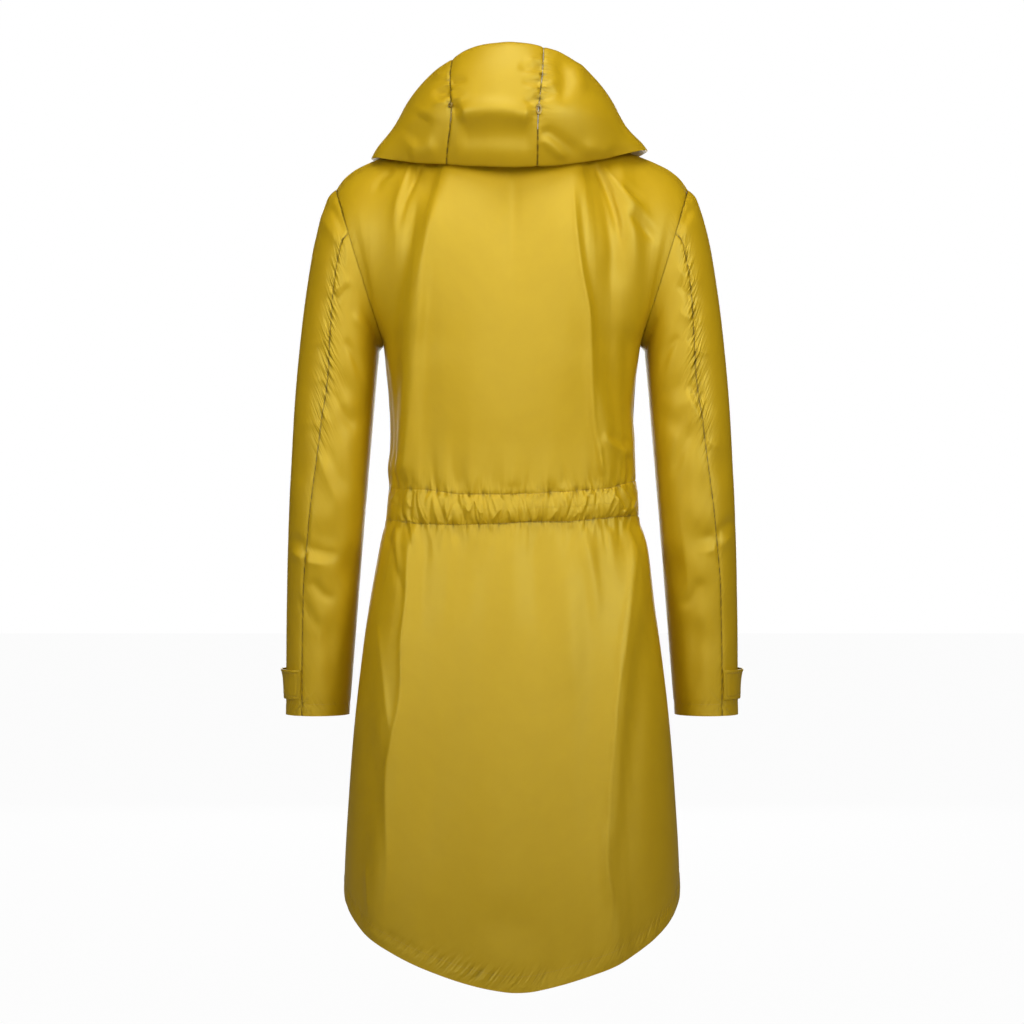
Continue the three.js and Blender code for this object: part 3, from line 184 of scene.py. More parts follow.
def crease_height(x, drop, line, width, height, shape="soft", fade_in=0.3, fade_out=0.3):
    """Height of one crease: soft is round, pinch has a sharp ridge and edge falls away on its left."""
    line = np.array(line, float)
    steps = max(2, 6 * (len(line) - 1)) + 1
    line = spline_weights(len(line), np.linspace(0, len(line) - 1, steps)) @ line
    lengths = np.concatenate([[0], np.cumsum(np.linalg.norm(np.diff(line, axis=0), axis=1))])
    reach = 4.5 * width
    raised = np.zeros_like(x)
    near = (
        (x > line[:, 0].min() - reach) & (x < line[:, 0].max() + reach)
        & (drop > line[:, 1].min() - reach) & (drop < line[:, 1].max() + reach)
    )
    px, py = x[near], drop[near]
    best = np.full(px.shape, 1e9)
    side = np.ones(px.shape)
    share = np.zeros(px.shape)
    for k in range(len(line) - 1):
        run = line[k + 1] - line[k]
        size = run @ run
        t = np.clip(((px - line[k, 0]) * run[0] + (py - line[k, 1]) * run[1]) / size, 0, 1)
        gap = np.hypot(px - line[k, 0] - t * run[0], py - line[k, 1] - t * run[1])
        closer = gap < best
        turn = run[0] * (py - line[k, 1]) - run[1] * (px - line[k, 0])
        best = np.where(closer, gap, best)
        side = np.where(closer, np.sign(turn), side)
        share = np.where(closer, (lengths[k] + t * math.sqrt(size)) / lengths[-1], share)
    fade = np.ones_like(share)
    if fade_in:
        fade *= smooth_step(share, 0, fade_in)
    if fade_out:
        fade *= smooth_step(1 - share, 0, fade_out)
    if shape == "soft":
        profile = np.exp(-((best / width) ** 2))
    elif shape == "pinch":
        profile = np.exp(-(np.sqrt((best / width) ** 2 + 0.09) - 0.3))
    else:
        profile = np.exp(-np.where(side < 0, best / (3.2 * width), best / (0.9 * width)) ** 1.4)
    raised[near] = height * fade * profile
    return raised


def creases(x, drop, table, moved=lambda line: line):
    total = np.zeros_like(x)
    for shape, width, height, fade_in, fade_out, line in table:
        total += crease_height(x, drop, moved(line), width, height, shape, fade_in, fade_out)
    return total


def seam_puckers(from_seam, along, reach, depth, spacing, slant, seed):
    """Short uneven creases that run out from a seam and fade, as where thread draws light cloth in."""
    dice = np.random.default_rng(seed)
    total = np.zeros_like(from_seam)
    at = along.min() + dice.uniform(0, spacing)
    while at < along.max():
        length = reach * dice.uniform(0.45, 1.35)
        width = spacing * dice.uniform(0.2, 0.36)
        lean = slant + dice.uniform(-0.45, 0.45)
        height = depth * dice.uniform(0.3, 1.25) * dice.choice([-1, -1, 1])
        aside = along - at - lean * from_seam
        spread = width * (1 + 0.8 * from_seam / reach)
        total += height * np.exp(-((aside / spread) ** 2)) * np.exp(-((from_seam / length) ** 1.5))
        at += spacing * dice.uniform(0.55, 1.5)
    return total


def seam_roll(distance, depth=1.1, width=2.2):
    return -depth * np.exp(-((distance / width) ** 2))


def stitched_line(distance, at, depth=0.45, width=1.3):
    return -depth * np.exp(-(((distance - at) / width) ** 2))


def nearest_seam(*seams):
    """The closest of several seams at each point: how far, where along, how drawn up and how much painted
    shade it takes.
    """
    stack = np.stack([np.stack(np.broadcast_arrays(*seam), axis=-1) for seam in seams])
    pick = np.argmin(stack[..., 0], axis=0)
    return np.take_along_axis(stack, pick[None, ..., None], axis=0)[0]


def make_sheet(name, points, normals, seams, thickness=CLOTH_THICKNESS):
    """A thin shell of cloth through a grid of points, with maps in metres of its size and its seams, and a
    map of each seam's puckering and painted shade strength.
    """
    rows, columns = points.shape[:2]
    index = np.arange(rows * columns).reshape(rows, columns)
    quads = np.stack([index[:-1, :-1], index[1:, :-1], index[1:, 1:], index[:-1, 1:]], axis=-1)
    quads = quads.reshape(-1, 4)
    first = points[1, 0] - points[0, 0]
    second = points[1, 1] - points[1, 0]
    if np.dot(np.cross(first, second), normals[0, 0]) < 0:
        quads = quads[:, ::-1]
    mesh = bpy.data.meshes.new(name)
    mesh.from_pydata((points.reshape(-1, 3) * MM).tolist(), [], quads.tolist())
    size = edge_distances(points)
    half = size["first"] - size["first"][:, -1:] / 2
    flat = np.stack([half, -size["top"]], axis=-1).reshape(-1, 2) * MM
    corners = np.zeros(len(mesh.loops), int)
    mesh.loops.foreach_get("vertex_index", corners)
    seams = seams.reshape(-1, 4)
    for layer_name, values in (("cloth", flat), ("seam", seams[:, :2] * MM), ("drawn", seams[:, 2:])):
        layer = mesh.uv_layers.new(name=layer_name)
        layer.data.foreach_set("uv", values[corners].ravel())
    piece = bpy.data.objects.new(name, mesh)
    bpy.context.collection.objects.link(piece)
    bpy.ops.object.select_all(action="DESELECT")
    piece.select_set(True)
    bpy.context.view_layer.objects.active = piece
    shell = piece.modifiers.new("shell", "SOLIDIFY")
    shell.thickness = thickness * MM
    shell.offset = -1
    bpy.ops.object.modifier_apply(modifier="shell")
    bpy.ops.object.shade_smooth()
    piece.data.set_sharp_from_angle(angle=math.radians(SHARP_FROM))
    piece.data.materials.clear()
    piece.data.materials.append(SATIN)
    return piece


def declare_cloth(piece, base, held, rests_on, *nodes):
    """Hides the CAD parts that a sheet replaces and hangs the sheet on the coat; the size of its surface
    before the creases is worked out but not kept.
    """
    size = edge_distances(base)
    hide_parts(*nodes)
    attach(piece, "coat")


def weave_group():
    """A fine plain weave on a map in metres: its height, and a faint change of shade from yarn to yarn."""
    group = bpy.data.node_groups.new("fine_weave", "ShaderNodeTree")
    group.interface.new_socket("Map", in_out="INPUT", socket_type="NodeSocketVector")
    pitch = group.interface.new_socket("Yarns per metre", in_out="INPUT", socket_type="NodeSocketFloat")
    pitch.default_value = 1400
    group.interface.new_socket("Height", in_out="OUTPUT", socket_type="NodeSocketFloat")
    group.interface.new_socket("Shade", in_out="OUTPUT", socket_type="NodeSocketFloat")
    nodes, links = group.nodes, group.links
    source = nodes.new("NodeGroupInput")
    result = nodes.new("NodeGroupOutput")
    scaled = nodes.new("ShaderNodeVectorMath")
    scaled.operation = "SCALE"
    links.new(source.outputs["Map"], scaled.inputs[0])
    links.new(source.outputs["Yarns per metre"], scaled.inputs["Scale"])
    split = nodes.new("ShaderNodeSeparateXYZ")
    links.new(scaled.outputs[0], split.inputs[0])
    waves = []
    for axis in ("X", "Y"):
        turn = nodes.new("ShaderNodeMath")
        turn.operation = "MULTIPLY"
        turn.inputs[1].default_value = math.pi
        links.new(split.outputs[axis], turn.inputs[0])
        wave = nodes.new("ShaderNodeMath")
        wave.operation = "SINE"
        links.new(turn.outputs[0], wave.inputs[0])
        waves.append(wave)
    crossing = nodes.new("ShaderNodeMath")
    crossing.operation = "MULTIPLY"
    links.new(waves[0].outputs[0], crossing.inputs[0])
    links.new(waves[1].outputs[0], crossing.inputs[1])
    links.new(crossing.outputs[0], result.inputs["Height"])
    slub = nodes.new("ShaderNodeTexNoise")
    slub.inputs["Scale"].default_value = 0.03
    slub.inputs["Detail"].default_value = 3
    links.new(scaled.outputs[0], slub.inputs["Vector"])
    links.new(slub.outputs["Fac"], result.inputs["Shade"])
    return group


def drawn_seam_group():
    """Fine short creases across a seam that fade away from it, with painted shade in their hollows, and a
    broken line of painted shade along the seam's groove.
    """
    group = bpy.data.node_groups.new("drawn_seam", "ShaderNodeTree")
    group.interface.new_socket("Map", in_out="INPUT", socket_type="NodeSocketVector")
    group.interface.new_socket("Strength", in_out="INPUT", socket_type="NodeSocketVector")
    group.interface.new_socket("Height", in_out="OUTPUT", socket_type="NodeSocketFloat")
    group.interface.new_socket("Shade", in_out="OUTPUT", socket_type="NodeSocketFloat")
    nodes, links = group.nodes, group.links
    source = nodes.new("NodeGroupInput")
    result = nodes.new("NodeGroupOutput")

    def math_node(operation, *values, clamp=False):
        node = nodes.new("ShaderNodeMath")
        node.operation = operation
        node.use_clamp = clamp
        for slot, value in enumerate(values):
            if isinstance(value, (int, float)):
                node.inputs[slot].default_value = value
            else:
                links.new(value, node.inputs[slot])
        return node.outputs[0]

    def noise(across_scale, along_scale):
        place = nodes.new("ShaderNodeCombineXYZ")
        links.new(math_node("MULTIPLY", away, across_scale), place.inputs[0])
        links.new(math_node("MULTIPLY", along, along_scale), place.inputs[1])
        texture = nodes.new("ShaderNodeTexNoise")
        texture.inputs["Scale"].default_value = 1
        texture.inputs["Detail"].default_value = 1
        links.new(place.outputs[0], texture.inputs["Vector"])
        return texture.outputs["Fac"]

    spots, strengths = nodes.new("ShaderNodeSeparateXYZ"), nodes.new("ShaderNodeSeparateXYZ")
    links.new(source.outputs["Map"], spots.inputs[0])
    links.new(source.outputs["Strength"], strengths.inputs[0])
    away, along = spots.outputs["X"], spots.outputs["Y"]
    drawn, seam_line_shade = strengths.outputs["X"], strengths.outputs["Y"]
    ripple = noise(45, 165)
    fade = math_node("EXPONENT", math_node("MULTIPLY", away, -125))
    height = math_node("MULTIPLY", math_node("SUBTRACT", ripple, 0.5), fade)
    links.new(math_node("MULTIPLY", height, drawn), result.inputs["Height"])
    # Painted shade: darkens the pucker hollows close to the seam.
    slot_fade = math_node("EXPONENT", math_node("MULTIPLY", away, -330))
    pucker_shade = math_node("MULTIPLY_ADD", ripple, -9, 4.2, clamp=True)
    pucker_shade = math_node("MULTIPLY", math_node("MULTIPLY", pucker_shade, slot_fade), drawn)
    # Painted shade: a broken line along the seam's groove, scaled by the map's second strength.
    line = math_node("MULTIPLY_ADD", away, -1150, 1.45, clamp=True)
    dashes = math_node("MULTIPLY_ADD", noise(0, 160), 6, -2.3, clamp=True)
    dashes = math_node("MULTIPLY_ADD", dashes, 0.7, 0.3)
    line = math_node("MULTIPLY", math_node("MULTIPLY", line, dashes), seam_line_shade)
    links.new(math_node("MAXIMUM", line, pucker_shade), result.inputs["Shade"])
    return group


def satin_nylon(name, deep, light, roughness, gloss):
    """Coated satin nylon: a deep yellow that the light turns pale, with soft wide highlights."""
    material = bpy.data.materials.new(name)
    material.use_nodes = True
    nodes, links = material.node_tree.nodes, material.node_tree.links
    surface = nodes["Principled BSDF"]
    surface.inputs["Roughness"].default_value = roughness
    surface.inputs["IOR"].default_value = 1.6
    surface.inputs["Specular IOR Level"].default_value = gloss
    surface.inputs["Specular Tint"].default_value = (0.9, 0.97, 0.36, 1)
    own_map = nodes.new("ShaderNodeUVMap")
    own_map.uv_map = "cloth"
    weave = nodes.new("ShaderNodeGroup")
    weave.node_tree = bpy.data.node_groups.get("fine_weave") or weave_group()
    links.new(own_map.outputs[0], weave.inputs["Map"])
    place = nodes.new("ShaderNodeTexCoord")
    stretch = nodes.new("ShaderNodeMapping")
    stretch.inputs["Scale"].default_value = (1, 1, 0.45)
    links.new(place.outputs["Object"], stretch.inputs[0])
    crumple = nodes.new("ShaderNodeTexNoise")
    crumple.inputs["Scale"].default_value = 22
    crumple.inputs["Detail"].default_value = 3
    crumple.inputs["Roughness"].default_value = 0.55
    links.new(stretch.outputs[0], crumple.inputs["Vector"])
    tone = nodes.new("ShaderNodeMix")
    tone.data_type = "RGBA"
    tone.inputs[6].default_value = deep
    tone.inputs[7].default_value = light
    links.new(weave.outputs["Shade"], tone.inputs[0])
    seam_map = nodes.new("ShaderNodeUVMap")
    seam_map.uv_map = "seam"
    drawn_map = nodes.new("ShaderNodeUVMap")
    drawn_map.uv_map = "drawn"
    seam = nodes.new("ShaderNodeGroup")
    seam.node_tree = bpy.data.node_groups.get("drawn_seam") or drawn_seam_group()
    links.new(seam_map.outputs[0], seam.inputs["Map"])
    links.new(drawn_map.outputs[0], seam.inputs["Strength"])
    # Painted shade: where the seam map says so, the base colour turns a deep brown along the seams' grooves
    # and in the pucker hollows.
    painted_seam_shade = nodes.new("ShaderNodeMix")
    painted_seam_shade.data_type = "RGBA"
    painted_seam_shade.inputs[7].default_value = (0.07, 0.028, 0.001, 1)
    links.new(seam.outputs["Shade"], painted_seam_shade.inputs[0])
    links.new(tone.outputs[2], painted_seam_shade.inputs[6])
    links.new(painted_seam_shade.outputs[2], surface.inputs["Base Color"])
    puckers = nodes.new("ShaderNodeBump")
    puckers.inputs["Strength"].default_value = 1
    puckers.inputs["Distance"].default_value = 0.006
    links.new(seam.outputs["Height"], puckers.inputs["Height"])
    soft = nodes.new("ShaderNodeBump")
    soft.inputs["Strength"].default_value = 1
    soft.inputs["Distance"].default_value = 0.0007
    links.new(crumple.outputs["Fac"], soft.inputs["Height"])
    links.new(puckers.outputs[0], soft.inputs["Normal"])
    fine = nodes.new("ShaderNodeBump")
    fine.inputs["Strength"].default_value = 0.12
    fine.inputs["Distance"].default_value = 0.00004
    links.new(weave.outputs["Height"], fine.inputs["Height"])
    links.new(soft.outputs[0], fine.inputs["Normal"])
    links.new(fine.outputs[0], surface.inputs["Normal"])
    return material


SATIN = satin_nylon("golden satin nylon", (0.42, 0.25, 0.001, 1), (0.46, 0.28, 0.002, 1), 0.5, 0.7)

BACK_OUTSIDE = (0, 400, -600)
BACK_ROWS, BACK_COLUMNS = 190, 256
back_coarse = panel_grid("back", 33, BACK_OUTSIDE, (0, 60, 0), (-1000, 0, -400))
CASING_MIDDLE_DROP = 439


def near_waist(places):
    return 1 + 1.6 * np.exp(-(((-places[:, 2] - CASING_MIDDLE_DROP) / 45) ** 2)) \
        + 0.5 * np.exp(-(((-places[:, 2] - 960) / 40) ** 2))


back_rows = cuts(back_coarse, BACK_ROWS, 0, near_waist)
back_columns = cuts(back_coarse, BACK_COLUMNS, 1)
back_base = smooth_sheet(back_coarse, back_rows, back_columns)
back_out = sheet_normals(back_base, BACK_OUTSIDE)
back_edges = edge_distances(back_base)

# Each row: shape, width and height in millimetres, shares of its length that fade in and out, its line.
BACK_CREASES = [
    ("soft", 4.5, -3.4, 0.1, 0.5, ((107, 36), (117, 63), (125, 80), (129, 97), (133, 126))),
    ("pinch", 4.5, 2.4, 0.1, 0.5, ((116, 34), (129, 66), (136, 90), (141, 118))),
    ("soft", 4, -2.4, 0.3, 0.4, ((134, 40), (151, 56), (166, 72))),
    ("pinch", 3.5, 1.8, 0.3, 0.4, ((126, 40), (143, 54), (160, 64))),
    ("soft", 9, 2.0, 0.3, 0.4, ((104, 56), (108, 76), (110, 100))),
    ("soft", 4.5, -4.2, 0.1, 0.5, ((-98, 36), (-112, 70), (-120.5, 97), (-125, 119), (-130, 150))),
    ("pinch", 4, 3.6, 0.1, 0.4, ((-100, 36), (-124, 63), (-148.6, 88), (-173, 117))),
    ("soft", 4, -2.8, 0.3, 0.4, ((-128, 56), (-142, 72), (-156, 84))),
    ("soft", 5, -3.6, 0.3, 0.4, ((-134, 88), (-150, 106), (-164, 122), (-176, 128))),
    ("soft", 9, 2.4, 0.2, 0.3, ((-86, 44), (-97, 80), (-104, 120), (-110, 170))),
    ("edge", 9, 6.0, 0.2, 0.08, ((86, 46), (93, 102), (104, 159), (107, 193), (111, 257), (117, 329),
                                 (123, 378), (127, 416))),
    ("soft", 10, -2.6, 0.3, 0.2, ((133, 250), (137, 330), (138, 400))),
    ("pinch", 3.4, 3.0, 0.15, 0.1, ((-71, 48), (-76, 119), (-82.5, 168), (-90, 208), (-92.4, 267),
                                    (-95, 329),
                                    (-104, 390), (-110, 418))),
    ("soft", 8, -3.6, 0.15, 0.2, ((-80, 60), (-86, 119), (-93, 168), (-101, 208), (-105, 267), (-108, 329))),
    ("soft", 11, -4.6, 0.3, 0.3, ((-132, 215), (-138, 290), (-138, 365))),
    ("soft", 12, 2.6, 0.3, 0.3, ((-120, 150), (-124, 210), (-124, 300))),
    ("pinch", 3, 3.0, 0.2, 0.2, ((-104, 356), (-124, 371), (-143, 378))),
    ("soft", 5, -2.6, 0.3, 0.3, ((-112, 352), (-128, 362), (-142, 366))),
    ("pinch", 3, 1.8, 0.2, 0.2, ((-102, 360), (-107, 404))),
    ("soft", 15, 2.0, 0.2, 0.3, ((80, 60), (84, 140), (84, 240), (88, 340))),
    ("soft", 15, 2.2, 0.2, 0.3, ((-56, 60), (-60, 140), (-66, 240), (-70, 340))),
    ("soft", 24, -1.6, 0.5, 0.4, ((14, 150), (16, 230), (12, 330))),
    ("pinch", 2.2, 1.7, 0.08, 0.2, ((122, 462), (124, 544), (130, 592), (131, 656), (140, 704), (148, 757),
                                    (146, 852), (149, 889), (155, 922))),
    ("soft", 8, -1.4, 0.1, 0.2, ((130, 470), (132, 544), (138, 600), (140, 656), (149, 704), (158, 760),
                                 (156, 850))),
    ("soft", 4, -1.8, 0.15, 0.3, ((146, 470), (137, 508), (127, 546))),
    ("pinch", 2.6, 2.0, 0.15, 0.3, ((136, 460), (135, 490), (134, 524))),
    ("pinch", 2.4, 1.5, 0.3, 0.15, ((160, 560), (153, 618), (144, 708))),
    ("pinch", 3, 1.8, 0.3, 0.3, ((171, 850), (167, 925))),
    ("pinch", 2.2, 2.0, 0.08, 0.2, ((-148, 466), (-141, 537), (-133, 601), (-124, 654), (-120, 704),
                                    (-115, 764), (-111, 852), (-117, 897), (-112, 975))),
    ("pinch", 2, 1.8, 0.1, 0.3, ((-142, 474), (-137, 537), (-127, 601), (-122, 656))),
    ("soft", 6, 2.4, 0.3, 0.3, ((-111, 800), (-110, 850), (-113, 915))),
    ("soft", 12, -4.2, 0.2, 0.3, ((-158, 540), (-147, 640), (-137, 740), (-130, 860), (-128, 960))),
    ("soft", 16, -2.6, 0.2, 0.3, ((-88, 480), (-92, 600), (-88, 760), (-86, 900))),
    ("soft", 18, 2.4, 0.3, 0.3, ((-60, 470), (-62, 560), (-66, 680))),
    ("soft", 12, -1.6, 0.2, 0.4, ((-20, 468), (-26, 520), (-30, 600))),
    ("soft", 13, 1.6, 0.2, 0.4, ((6, 468), (4, 530), (0, 620))),
    ("soft", 11, -1.5, 0.2, 0.4, ((40, 468), (46, 530), (50, 590))),
    ("soft", 9, 1.4, 0.2, 0.4, ((70, 466), (76, 530), (80, 600))),
    ("soft", 8, 2.0, 0.2, 0.4, ((-84, 470), (-96, 530), (-100, 590))),
    ("soft", 8, -1.8, 0.2, 0.4, ((100, 470), (104, 530), (106, 600))),
    ("soft", 16, -2.2, 0.5, 0.4, ((92, 660), (96, 780), (104, 900))),
    ("soft", 26, -2.0, 0.4, 0.4, ((30, 900), (0, 930), (-40, 925))),
]

# The waist's two stitched lines, as places across the back and how far down each is seen.
WAIST_TOP = ((-150, 408), (-136, 410), (-113, 416.5), (-68, 420), (-1, 423.5), (61, 423.5),
             (104, 417.7), (150, 417))
WAIST_BOTTOM = ((-150, 448), (-102, 452.8), (-68, 456.3), (-23, 456.3), (21, 459.2), (65, 460.4),
                (104, 459.2), (150, 453))
WAIST_END = 150.0
GATHER_REACH = 30
HEM_STITCH = 18


def waist_line(x, line):
    return np.interp(x, [spot[0] for spot in line], [spot[1] for spot in line])


def waist_gathers(x, drop):
    """The gathers that run up and down from the waist, uneven in place, length, lean and depth."""
    dice = np.random.default_rng(11)
    total = np.zeros_like(x)
    for away in (waist_line(x, WAIST_TOP) - drop, drop - waist_line(x, WAIST_BOTTOM)):
        at = -WAIST_END
        while at < WAIST_END:
            length = GATHER_REACH * dice.uniform(0.25, 1.25)
            width = dice.uniform(1.3, 3.0)
            height = dice.uniform(0.3, 1.35) * dice.choice([-1, 1])
            line = x - at - dice.uniform(-0.25, 0.25) * away
            far = np.maximum(away, 0)
            fade = np.exp(-((far / length) ** 1.6)) * (1 - smooth_step(-away, 0, 8))
            total += height * fade * np.exp(-((line / (width * (1 + far / 40))) ** 2))
            at += dice.uniform(2.6, 6.8)
    return total


def waist_puckers(x, drop):
    """Short bright puckers where the needle has drawn the cloth in along both lines."""
    dice = np.random.default_rng(12)
    total = np.zeros_like(x)
    for line in (WAIST_TOP, WAIST_BOTTOM):
        aside = drop - waist_line(x, line)
        at = 1 - WAIST_END
        while at < WAIST_END - 1:
            lean = dice.uniform(-0.9, 0.9)
            height = dice.uniform(0.3, 1.0) * dice.choice([-1, 1, 1])
            reach = dice.uniform(2.2, 5.5)
            middle = dice.uniform(-2.5, 2.5)
            across = np.exp(-(((x - at - lean * aside) / dice.uniform(0.8, 1.4)) ** 2))
            total += height * across * np.exp(-(((aside - middle) / reach) ** 2))
            at += dice.uniform(1.9, 4.4)
        total -= 0.7 * np.exp(-((aside / 1.1) ** 2))
    return total


x, drop = seen(back_base)
back_height = creases(x, drop, BACK_CREASES)
inside_casing = smooth_step(drop - waist_line(x, WAIST_TOP), 0.5, 4)
inside_casing *= smooth_step(waist_line(x, WAIST_BOTTOM) - drop, 0.5, 4)
near_casing = smooth_step(drop - waist_line(x, WAIST_TOP), -14, 0)
near_casing *= smooth_step(waist_line(x, WAIST_BOTTOM) - drop, -14, 0)
back_height *= 1 - near_casing
back_height += waist_gathers(x, drop) + waist_puckers(x, drop)
back_height *= smooth_step(back_edges["first"], 0, 9) * smooth_step(back_edges["last"], 0, 9)
back_height *= smooth_step(back_edges["bottom"], 0, 12) * (1 - inside_casing)
back_height -= 1.5 * inside_casing
shoulder = 1 - smooth_step(drop, 95, 125)
armhole = 1 - smooth_step(drop, 225, 262)
for side, seed in (("first", 21), ("last", 22)):
    away, along = back_edges[side], back_edges["top"]
    side_seam = (1 - armhole) * smooth_step(away, 0, 3)
    back_height += seam_puckers(away, along, 13, 0.5, 15, 0.3, seed) * armhole * (0.25 + shoulder)
    back_height += seam_puckers(away, along, 16, 0.7, 24, 0.2, seed + 8) * side_seam
    back_height += seam_roll(away) * (0.15 + 0.55 * shoulder)
hem_from = back_edges["bottom"]
back_height += stitched_line(hem_from, HEM_STITCH, 0.6, 1.6) + 0.35 * np.exp(-(((hem_from - 8) / 7) ** 2))
back_height += seam_puckers(np.abs(hem_from - 14), back_edges["first"], 12, 0.55, 12, 0.8, 23)
back_points = back_base + back_out * back_height[..., None]
hem_drawn = 0.25 + 0.75 * np.exp(-(((x - 30) / 62) ** 2)) * (x > -40)
back_seams = nearest_seam(
    (back_edges["first"], back_edges["top"], 0.15, 0.2 + 0.5 * shoulder),
    (back_edges["last"], back_edges["top"], 0.15, 0.2 + 0.5 * shoulder),
    (np.abs(hem_from - 16), back_edges["first"] + 0.8 * hem_from, hem_drawn, 0.25),
    (np.abs(drop - waist_line(x, WAIST_TOP)), x, 0.7, 0.5),
    (np.abs(drop - waist_line(x, WAIST_BOTTOM)), x + 400, 0.7, 0.6),
)
back = make_sheet("back_panel", back_points, back_out, back_seams)
declare_cloth(back, back_base, "hung", ["hood_centre"], "back")

# Threads of the seams.
# Lockstitched in polyester thread of the cloth's own colour, about three millimetres to a stitch.
STITCH_PITCH = 3.3
STITCH_LENGTH = 2.5
THREAD_HALF = 0.24
THREAD_LIFT = 0.12
PATH_POINTS = 700


def on_sheet(points, row_places, column_places):
    """Points on a fine sheet at fractional rows and columns, one for each pair of places."""
    rows, columns = points.shape[:2]
    r = np.clip(row_places, 0, rows - 1.001)
    c = np.clip(column_places, 0, columns - 1.001)
    j, i = r.astype(int), c.astype(int)
    t, u = (r - j)[:, None], (c - i)[:, None]
    top = points[j, i] * (1 - u) + points[j, i + 1] * u
    low = points[j + 1, i] * (1 - u) + points[j + 1, i + 1] * u
    return top * (1 - t) + low * t


def stitch_path(points, normals, distance, at, share=(0.0, 1.0), along_rows=True):
    """A path across a sheet that keeps a fixed distance from one of its edges."""
    held = distance if along_rows else distance.T
    count = held.shape[1]
    lines = np.linspace(share[0] * (count - 1), share[1] * (count - 1), PATH_POINTS)
    line_index = np.clip(np.round(lines).astype(int), 0, count - 1)
    order = np.arange(held.shape[0])
    rows = []
    for index in line_index:
        values = held[:, index]
        if values[0] > values[-1]:
            rows.append(np.interp(at, values[::-1], order[::-1]))
        else:
            rows.append(np.interp(at, values, order))
    rows = np.array(rows)
    pair = (rows, lines) if along_rows else (lines, rows)
    return on_sheet(points, *pair), on_sheet(normals, *pair)


def stitch_blocks(path, out):
    """Small tapered blocks of thread set end to end along a path: corners and faces of one row."""
    steps = np.linalg.norm(np.diff(path, axis=0), axis=1)
    total = np.concatenate([[0], np.cumsum(steps)])
    starts = np.arange(STITCH_PITCH, total[-1] - STITCH_PITCH, STITCH_PITCH)

    def read(values, at):
        return np.stack([np.interp(at, total, values[:, k]) for k in range(3)], axis=1)

    begin, end = read(path, starts), read(path, starts + STITCH_LENGTH)
    up = read(out, starts + STITCH_LENGTH / 2)
    up /= np.linalg.norm(up, axis=1, keepdims=True)
    run = end - begin
    run /= np.maximum(np.linalg.norm(run, axis=1, keepdims=True), 1e-9)
    side = np.cross(up, run) * THREAD_HALF
    middle = (begin + end) / 2
    low = up * THREAD_LIFT * 0.4
    corners = np.stack([
        begin - up * 0.25, begin + side * 0.8 + low, begin - side * 0.8 + low,
        middle + side + up * (THREAD_LIFT + 0.1), middle - side + up * (THREAD_LIFT + 0.1),
        end - up * 0.25, end + side * 0.8 + low, end - side * 0.8 + low,
        middle - up * 0.2,
    ], axis=1)
    block = [
        (0, 1, 2), (1, 3, 4, 2), (3, 6, 7, 4), (5, 7, 6),
        (0, 8, 3, 1), (8, 5, 6, 3), (0, 2, 4, 8), (8, 4, 7, 5),
    ]
    points, faces = [], []
    for k, corner in enumerate(corners):
        points.extend((corner * MM).tolist())
        faces.extend([tuple(9 * k + v for v in face) for face in block])
    return points, faces


def make_faces(name, points, faces, material):
    mesh = bpy.data.meshes.new(name)
    mesh.from_pydata(points, [], faces)
    made = bmesh.new()
    made.from_mesh(mesh)
    bmesh.ops.recalc_face_normals(made, faces=made.faces)
    made.to_mesh(mesh)
    made.free()
    piece = bpy.data.objects.new(name, mesh)
    bpy.context.collection.objects.link(piece)
    piece.data.materials.append(material)
    return piece


def make_threads(name, paths):
    points, faces = [], []
    for path, out in paths:
        more_points, more_faces = stitch_blocks(path, out)
        start = len(points)
        points.extend(more_points)
        faces.extend([tuple(v + start for v in face) for face in more_faces])
    piece = make_faces(name, points, faces, THREAD)
    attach(piece, "coat")


def mottled(name, scale, detail, deep, light, rough, metallic=0.0):
    """A material whose shade, and gloss where two values are given, follow a fine noise."""
    material = bpy.data.materials.new(name)
    material.use_nodes = True
    nodes, links = material.node_tree.nodes, material.node_tree.links
    surface = nodes["Principled BSDF"]
    surface.inputs["Metallic"].default_value = metallic
    place = nodes.new("ShaderNodeTexCoord")
    spots = nodes.new("ShaderNodeTexNoise")
    spots.inputs["Scale"].default_value = scale
    spots.inputs["Detail"].default_value = detail
    tone = nodes.new("ShaderNodeMix")
    tone.data_type = "RGBA"
    tone.inputs[6].default_value = (*deep, 1)
    tone.inputs[7].default_value = (*light, 1)
    links.new(place.outputs["Object"], spots.inputs["Vector"])
    links.new(spots.outputs["Fac"], tone.inputs[0])
    links.new(tone.outputs[2], surface.inputs["Base Color"])
    if len(rough) == 1:
        surface.inputs["Roughness"].default_value = rough[0]
        return material
    gloss = nodes.new("ShaderNodeMapRange")
    gloss.inputs["To Min"].default_value = rough[0]
    gloss.inputs["To Max"].default_value = rough[1]
    links.new(spots.outputs["Fac"], gloss.inputs["Value"])
    links.new(gloss.outputs[0], surface.inputs["Roughness"])
    return material


THREAD = mottled("golden polyester thread", 900, 2, (0.36, 0.22, 0.012), (0.5, 0.33, 0.03), (0.5,))
make_threads("back_hem_stitches", [stitch_path(back_points, back_out, hem_from, HEM_STITCH, (0.01, 0.99))])

